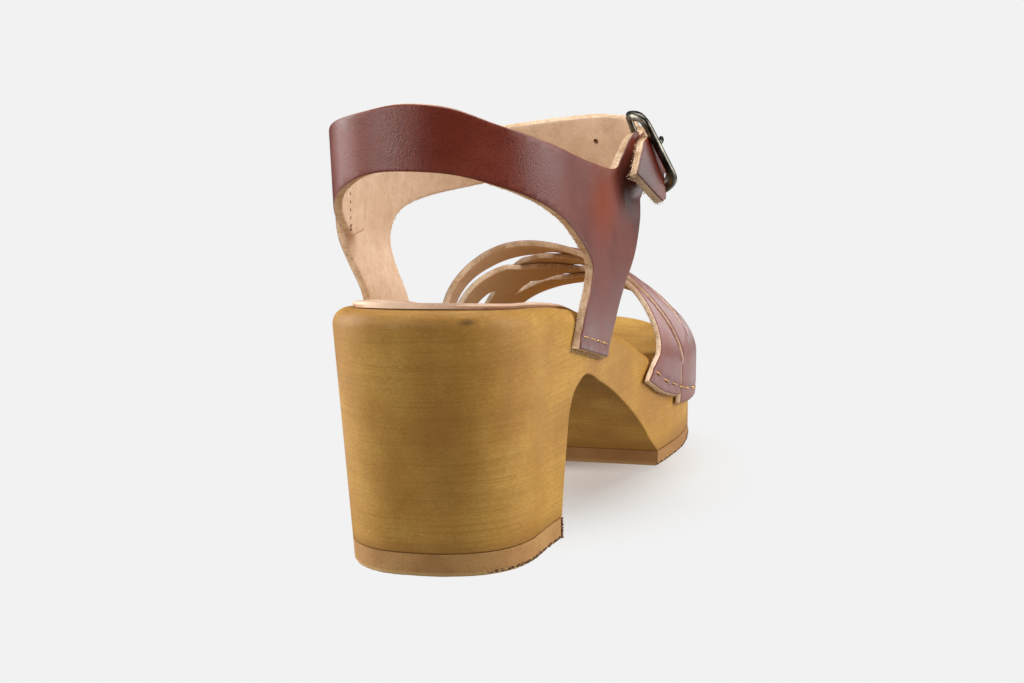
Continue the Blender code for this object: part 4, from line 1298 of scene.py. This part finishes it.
def punch(bm, holes):
    """Cut round holes into a flat sheet from below, up to their top, with an exact boolean."""
    punches = bmesh.new()
    for hole in holes:
        at = Matrix.Translation((hole.u, hole.z, hole.top - PUNCH_LENGTH / 2))
        bmesh.ops.create_cone(punches, cap_ends=True, segments=20, radius1=hole.radius,
                              radius2=hole.radius, depth=PUNCH_LENGTH, matrix=at)
    things = [new_object("sheet", bm), new_object("punches", punches)]
    cutter = things[0].modifiers.new("Punch", "BOOLEAN")
    cutter.operation = "DIFFERENCE"
    cutter.solver = "EXACT"
    cutter.object = things[1]
    shown = things[0].evaluated_get(bpy.context.evaluated_depsgraph_get())
    cut = bmesh.new()
    cut.from_mesh(shown.data)
    for thing in things:
        mesh = thing.data
        bpy.data.objects.remove(thing, do_unlink=True)
        bpy.data.meshes.remove(mesh)
    return cut


bm = punch(flat_pattern(ANKLE_PATTERN), STRAP_HOLES)
bend_sheet(bm, "ankle", ankle_wrap, ANKLE_SLANT)
piece("ankle_strap_leather", bm, LEATHER_SKIN, ["ankle_strap"])

# %% [markdown]
# ## Buckle
# A bowed ring of round wire, a bar that the tab is folded round, and a prong of thinner wire whose end
# is bent round the bar.  Each is a round section carried along a line, so one tube function makes all
# three.  The bar's ends run into the ring, as if soldered.

# %% Tubes
RING_HALF_LENGTH = 10.5
RING_HALF_HEIGHT = 14.0
RING_CORNER = 0.55
RING_BOW = 5.0
RING_BOW_SKEW = 0.3
RING_SLANT = 0.20
RING_SWING = 0.04
RING_LIFT = 0.6
RING_RADIUS = 1.45
BAR_RADIUS = 1.1
PRONG_RADIUS = 0.75
PRONG = ((0.0, 2.15), (1.9, 2.0), (3.2, 2.9), (3.9, 4.6), (4.6, 6.1), (6.8, 7.3), (9.4, 7.6), (10.6, 7.5))


def even(points, count, closed=False):
    """The same line with evenly spaced points."""
    path = measured(points + [points[0]] if closed else points)
    return [on_path(path, path[1][-1] * k / count) for k in range(count if closed else count + 1)]


def tube(points, radius, sides, axis, closed=False):
    """A round wire along a line; axis is a direction the line never runs along."""
    count = len(points)

    def wire(i, k):
        at = points[i % count]
        before = points[(i - 1) % count] if closed or i > 0 else at
        after = points[(i + 1) % count] if closed or i < count - 1 else at
        side = (after - before).normalized().cross(axis).normalized()
        lift = side.cross(after - before).normalized()
        a = 2 * math.pi * k / sides
        return at + (side * math.cos(a) + lift * math.sin(a)) * radius

    bm = grid_body(count if closed else count - 1, sides, wire)
    close_ends(bm)
    return bm


def ring_point(angle):
    c, d = math.cos(angle), math.sin(angle)
    forward = math.copysign(abs(c) ** RING_CORNER, c) * RING_HALF_LENGTH
    share = math.copysign(abs(d) ** RING_CORNER, d)
    bow = RING_BOW * (1 - abs(d) ** 6) * (1 - RING_BOW_SKEW * share)
    height = share * RING_HALF_HEIGHT - RING_SLANT * forward
    return buckle_place(forward, height, RING_LIFT + bow - RING_SWING * forward)


def turns(count):
    return [2 * math.pi * k / count for k in range(count)]


print("buckle ring", 2 * RING_HALF_LENGTH, "by", 2 * RING_HALF_HEIGHT, "mm")

# %% Ring, bar and prong
ring_line = even([ring_point(a) for a in turns(720)], 120, True)
ring = tube(ring_line, RING_RADIUS, 18, BUCKLE_OUT, True)
bar_line = [buckle_place(0.0, (RING_HALF_HEIGHT - 0.2) * (k / 5 - 1), 0.0) for k in range(11)]
bar = tube(bar_line, BAR_RADIUS, 18, BUCKLE_OUT)
piece("buckle_ring", together([ring, bar]), BRASS, ["buckle_frame"])

eye_radius = BAR_RADIUS + SEAT_GAP + PRONG_RADIUS
eye_line = [buckle_place(eye_radius * math.cos(a), 0.0, eye_radius * math.sin(a)) for a in turns(40)]
eye = tube(eye_line, PRONG_RADIUS, 14, BUCKLE_UP, True)
shaft_line = even(polyline([buckle_place(forward, 0.0, out) for forward, out in PRONG], 8)[0], 60)
shaft = tube(shaft_line, PRONG_RADIUS, 14, BUCKLE_UP)
piece("prong_wire", together([eye, shaft]), BRASS, ["buckle_prong"])

# %% [markdown]
# ## Staples and seam
# Short brass-coloured staples hold every tab to the wood.  Each is a flat wire bridge along its pressed
# line, its ends going into the leather.  The heel band is sewn under the leg on the inner side; the
# thread shows as a row of small stitches that sink into the leather.

# %% Staples
# Half the side view of a wire bridge, from its middle: along it, in half lengths, and out from the leather.
STAPLE_VIEW = ((0.0, 0.33), (0.5, 0.3), (0.82, 0.16), (0.96, -0.25), (1.0, -0.9))
STAPLE_HALF = 2.0
STAPLE_RADIUS = 0.42
WRAPS = {"over": arch_wrap, "under": arch_wrap, "back": back_wrap, "ankle": ankle_wrap}


def bridge(at, run, out, view, half, count, radius):
    """A short wire whose middle lies on the leather and whose ends turn in."""
    shape = [(-a, b) for a, b in reversed(view[1:])] + list(view)
    line = [at + run * half * a + out * b for a, b in shape]
    return tube(even(line, count), radius, 8, run.cross(out))


random.seed(4)
parts = []
for line in STAPLE_LINES:
    wrap = WRAPS[line.sheet]
    scale = WALL_PER_STEP if wrap == arch_wrap else 1.0
    long, tall = line.end[0] - line.start[0], line.end[1] - line.start[1]
    for k in range(line.staples):
        f = FIRST_STAPLE + STAPLE_SPAN * k / (line.staples - 1) + draw(-0.012, 0.012)
        a = line.start[0] + long * f + draw(-0.25, 0.25) / scale
        b = line.start[1] + tall * f
        if line.sheet == "over" and a > 0 and 168.6 < b < 172.6:
            b = 173.4  # beside the slit, not in it
        level = LEATHER / 2 - pressed(line.sheet, a, b, scale)
        da, db = long * 0.02, tall * 0.02
        at = wrap(a, b, level)
        run = (wrap(a + da, b + db, level) - wrap(a - da, b - db, level)).normalized()
        out = (wrap(a, b, level + 1.0) - at).normalized()
        parts.append(bridge(at, run, out, STAPLE_VIEW, STAPLE_HALF, 14, STAPLE_RADIUS))
piece("staples", together(parts), STAPLE, sharp=60.0)

# %% Seam on the inner side
STITCH_VIEW = ((0.0, 0.1), (0.4, 0.05), (0.8, -0.15), (1.0, -0.7))
STITCH_HALF = 0.6
STITCH_RADIUS = 0.2
SEAM_LOW = (-50.5, 100.0)
SEAM_HIGH = (-53.0, 119.5)
SEAM_STITCHES = 9


def inside_band(f, inward):
    """A place on the flesh side of the heel band, along the seam."""
    u = SEAM_LOW[0] + (SEAM_HIGH[0] - SEAM_LOW[0]) * f
    z = SEAM_LOW[1] + (SEAM_HIGH[1] - SEAM_LOW[1]) * f
    return back_wrap(u, z, -LEATHER / 2 - inward)


parts = []
for k in range(SEAM_STITCHES):
    f = k / (SEAM_STITCHES - 1)
    at = inside_band(f, 0.0)
    inward = (inside_band(f, 1.0) - at).normalized()
    run = (inside_band(f + 0.02, 0.0) - at).normalized()
    parts.append(bridge(at, run, inward, STITCH_VIEW, STITCH_HALF, 12, STITCH_RADIUS))
# Thread ends at both ends of the seam.
for f in (-0.03, 1.03):
    for k in range(9):
        at = inside_band(f + draw(-0.05, 0.05), draw(-0.1, 0.25))
        parts.append(crumb(at + Vector((0.0, draw(-0.8, 0.8), 0.0)), draw(0.25, 0.5)))
piece("seam_thread", together(parts), THREAD, sharp=60.0)

# %% [markdown]
# ## Loose fibres
# A knife leaves the cut edge of thick leather hairy, most of all on the flesh side.  Each hair is a thin
# wire that starts on the cut wall and leaves it at a random slant.  The hairs are placed on the flat
# patterns and bent with them, so they follow every edge.

# %% Fibres on the cut edges
FIBRE_RADIUS = 0.085
HAIR_AXIS = Vector((0.31, 0.17, 0.93))
ALONG_HAIR = (0.0, 0.5, 1.0)
BACK_HAIRS = 2400
ANKLE_HAIRS = 2200
STRAP_HAIRS = 420


def hair(points):
    return tube(points, FIBRE_RADIUS, 3, HAIR_AXIS)


def pattern_fibres(rows, wrap, count, wanted):
    """Hairs on the outline of a flat pattern; wanted(u, z) says how long they are there."""
    outline = pattern_outline(rows)
    area = sum((a.x * b.y - b.x * a.y for a, b in zip(outline, outline[1:] + outline[:1])), 0.0)
    hairs = []
    for k in range(count):
        i = random.randrange(len(outline))
        run = (outline[(i + 1) % len(outline)] - outline[i - 1]).normalized()
        away = Vector((run.y, -run.x)) if area > 0 else Vector((-run.y, run.x))
        long = wanted(*outline[i]) * draw(0.5, 1.5)
        if long <= 0:
            continue
        depth = draw(-1.35, 0.5)
        reach = slant(0.0, depth, LEATHER) if outline[i].y < 60.2 else 0.0
        at = outline[i] + run * draw(-0.8, 0.8) + away * (reach - 0.1)
        lean, bend = draw(-1.0, 1.0), draw(-0.7, 0.7)
        line = []
        for f in ALONG_HAIR:
            p = at + away * long * f + run * long * (lean * f + bend * f * f)
            line.append(wrap(p.x, p.y, depth - 0.5 * long * f * f))
        hairs.append(hair(line))
    return hairs


def back_hair(u, z):
    """Longest on the tab, then behind the leg, then on the lower edge of the band."""
    if z < 60:
        return 0.7
    if 66 < u < 100 and z < 100:
        return 0.35
    return 0.22 if z < 116 else 0.0


def ankle_hair(u, z):
    return 0.6 if u > 193 or z < 60 else 0.25


random.seed(11)
hairs = pattern_fibres(BACK_PATTERN, back_wrap, BACK_HAIRS, back_hair)
hairs += pattern_fibres(ANKLE_PATTERN, ankle_wrap, ANKLE_HAIRS, ankle_hair)
for strap in STRAPS.values():
    for k in range(STRAP_HAIRS):
        end = strap.rows[-1].t if k % 2 else strap.rows[0].t
        y = draw(along(strap.rows, "rear", end), along(strap.rows, "front", end))
        long, lean = draw(0.2, 0.7), draw(-0.8, 0.8)
        step = math.copysign(1 / WALL_PER_STEP, end)
        depth = draw(-0.7, 0.8)
        reach = slant(0.0, depth, STRAP_LEATHER) - 0.1
        line = []
        for f in ALONG_HAIR:
            t = end + step * (reach + long * f)
            line.append(arch_wrap(t, y + lean * long * f, depth - 0.3 * long * f))
        hairs.append(hair(line))
piece("edge_fibres", together(hairs), FIBRE, sharp=60.0)

# %% [markdown]
# ## Stage, light and camera
# The shoe stands on a plain pale ground without a horizon.  Wood, heel leather and forefoot straps each
# have their own large soft lights, left and right behind the camera, so the middle of the rounded heel
# stays darker than its sides.  These lights pass by the ground.  It has an even light of its own, and it
# keeps a short soft shadow under the arch.

# %% Ground
PAPER = (0.888, 0.888, 0.888)
BLACK = (0.0, 0.0, 0.0)
bm = bmesh.new()
bmesh.ops.create_grid(bm, x_segments=1, y_segments=1, size=6.0)
ground = new_object("ground", bm)
GROUND, net = finish("pale_ground")
# Near the arch the ground glows at less than paper white and is also a lit surface that takes the shadow;
# further out it is plain paper white.  A painted shadow darkens it where the tread starts.
rays = net.place("LightPath").outputs
near = net.mark(spot(22.0, 116.0, 0.0), (0.066, 0.096, 1.0))
lit = net.blend(near, BLACK, (0.90, 0.90, 0.90))
paper_and_painted_shadow = net.blend(near, PAPER, (0.40, 0.396, 0.388))
# Painted shadow where the tread starts.
paper_and_painted_shadow = net.stain_and_shade(paper_and_painted_shadow, spot(-9.0, TREAD_START_Y, 0.0), (0.056, 0.018, 1.0), 0.8, (0.05, 0.047, 0.043))
# The shoe itself sees the ground glow: warm, brightest below the arch, with two bright glowing patches for
# its gloss.
bounce = net.blend(near, (0.42, 0.39, 0.34), (0.56, 0.48, 0.36))
mirrored = net.blend(net.mark((0.125, 0.17, 0.0), (0.17, 0.27, 1.0)), (0.03, 0.03, 0.03), (1.7, 1.7, 1.7))
mirrored = net.blend(net.mark((-0.17, -0.02, 0.0), (0.15, 0.24, 1.0)), mirrored, (1.6, 1.6, 1.6))
bounce = net.blend(rays["Is Glossy Ray"], bounce, mirrored)
net.dress({
    "Base Color": net.blend(rays["Is Camera Ray"], BLACK, lit),
    "Emission Color": net.blend(rays["Is Camera Ray"], bounce, paper_and_painted_shadow),
    "Emission Strength": 1.0,
    "Roughness": 0.9,
    "Specular IOR Level": 0.0,
})
ground.data.materials.append(GROUND)
print("ground laid")

# %% Who is lit by which lights
LIT = {name: bpy.data.collections.new(name) for name in (
    "shoe_only", "ground_only", "hard_only", "band_only", "vamp_only", "inside_only")}
for thing in bpy.data.objects:
    if thing.type == "MESH":
        LIT["ground_only" if thing == ground else "shoe_only"].objects.link(thing)
for thing in LIT["shoe_only"].objects:
    leather = LEATHER_SKIN.name in thing.data.materials or thing.name == "edge_fibres"
    vamp = thing.name.startswith("forefoot_strap")
    LIT["vamp_only" if vamp else "band_only" if leather else "hard_only"].objects.link(thing)
for name in ("ankle_strap_leather", "sock_pad"):
    LIT["inside_only"].objects.link(bpy.data.objects[name])

# %% Lights
# Azimuth is counted in degrees from straight behind the heel to the outer side; sizes are in metres.
Softbox = namedtuple("Softbox", "name azimuth height away width tall watts lit")
AIM = Vector((0, 0, 0.06))


def add_lamp(name, light, lit):
    lamp = bpy.data.objects.new(name, light)
    bpy.context.scene.collection.objects.link(lamp)
    lamp.light_linking.receiver_collection = LIT[lit]
    return lamp


for row in (
    ("left_box", -77.0, 0.30, 0.75, 0.70, 0.80, 10.0, "hard_only"),
    ("right_box", 98.0, 0.26, 0.75, 0.60, 0.80, 9.0, "hard_only"),
    ("front_fill", -8.0, 0.55, 0.85, 0.50, 0.50, 2.0, "hard_only"),
    ("top_box", 175.0, 1.00, 0.30, 0.70, 0.70, 6.0, "shoe_only"),
    ("band_left", -82.0, 0.28, 0.75, 0.60, 0.80, 5.6, "band_only"),
    ("band_strip", -30.0, 0.12, 0.75, 0.26, 0.50, 1.7, "band_only"),
    ("band_glow", 128.0, 0.24, 0.75, 0.58, 0.60, 2.4, "band_only"),
    ("band_high", 75.0, 0.90, 0.60, 0.50, 0.50, 6.5, "band_only"),
    ("band_fill", 10.0, 0.92, 0.45, 0.50, 0.50, 1.9, "band_only"),
    ("vamp_left", -86.0, 0.28, 0.75, 0.60, 0.80, 2.5, "vamp_only"),
    ("vamp_side", 62.0, 0.15, 0.75, 0.40, 0.30, 2.3, "vamp_only"),
    ("vamp_high", 75.0, 0.90, 0.60, 0.50, 0.50, 6.5, "vamp_only"),
    ("vamp_glow", 162.0, 0.14, 0.75, 0.45, 0.28, 0.95, "vamp_only"),
    ("inside_fill", -35.0, 0.35, 0.80, 0.50, 0.50, 2.8, "inside_only"),
):
    box = Softbox(*row)
    light = bpy.data.lights.new(box.name, "AREA")
    light.shape = "RECTANGLE"
    light.size, light.size_y = box.width, box.tall
    light.energy = box.watts
    lamp = add_lamp(box.name, light, box.lit)
    a = math.radians(box.azimuth)
    lamp.location = (box.away * math.sin(a), -box.away * math.cos(a), box.height)
    lamp.rotation_euler = (AIM - lamp.location).to_track_quat("-Z", "Y").to_euler()

sun = bpy.data.lights.new("ground_light", "SUN")
sun.energy = 1.39
sun.angle = math.radians(50.0)
add_lamp("ground_light", sun, "ground_only").rotation_euler = (0.0, math.radians(-8.0), 0.0)
print("lights:", [o.name for o in bpy.data.objects if o.type == "LIGHT"])

# %% World
world = bpy.data.worlds.new("studio")
bpy.context.scene.world = world
world.use_nodes = True
net = Net(world.node_tree, sockets=world.node_tree.nodes["Background"].inputs)
rays = net.place("LightPath").outputs
sky = net.blend(rays["Is Glossy Ray"], (0.10, 0.10, 0.10), (0.03, 0.03, 0.03))
net.dress({"Color": net.blend(rays["Is Camera Ray"], sky, PAPER)})
bpy.context.scene.view_settings.view_transform = "Standard"
print("world:", world.name)

# %% Camera
# The place, the three turns and the focal length in pixels were solved from the photo.
CAMERA_AT = Vector((208.523, -475.304, 168.707))
YAW, PITCH, ROLL = (math.radians(v) for v in (20.083, 10.793, -2.397))
FOCAL_PIXELS = 1835.571
PHOTO_WIDTH = 1024
SENSOR = 36.0
ahead = Vector((-math.sin(YAW) * math.cos(PITCH), math.cos(YAW) * math.cos(PITCH), -math.sin(PITCH)))
level = Vector((math.cos(YAW), math.sin(YAW), 0.0))
over = level.cross(ahead)
right = level * math.cos(ROLL) + over * math.sin(ROLL)
upward = over * math.cos(ROLL) - level * math.sin(ROLL)
lens = bpy.data.cameras.new("camera")
lens.sensor_fit = "HORIZONTAL"
lens.sensor_width = SENSOR
lens.lens = SENSOR * FOCAL_PIXELS / PHOTO_WIDTH
lens.clip_start, lens.clip_end = 0.01, 50.0
camera = bpy.data.objects.new("camera", lens)
turned = Matrix((right, upward, -ahead)).transposed().to_4x4()
camera.matrix_world = Matrix.Translation(spot(*CAMERA_AT)) @ turned
bpy.context.scene.collection.objects.link(camera)
bpy.context.scene.camera = camera
print("camera", round(lens.lens, 2), "mm")
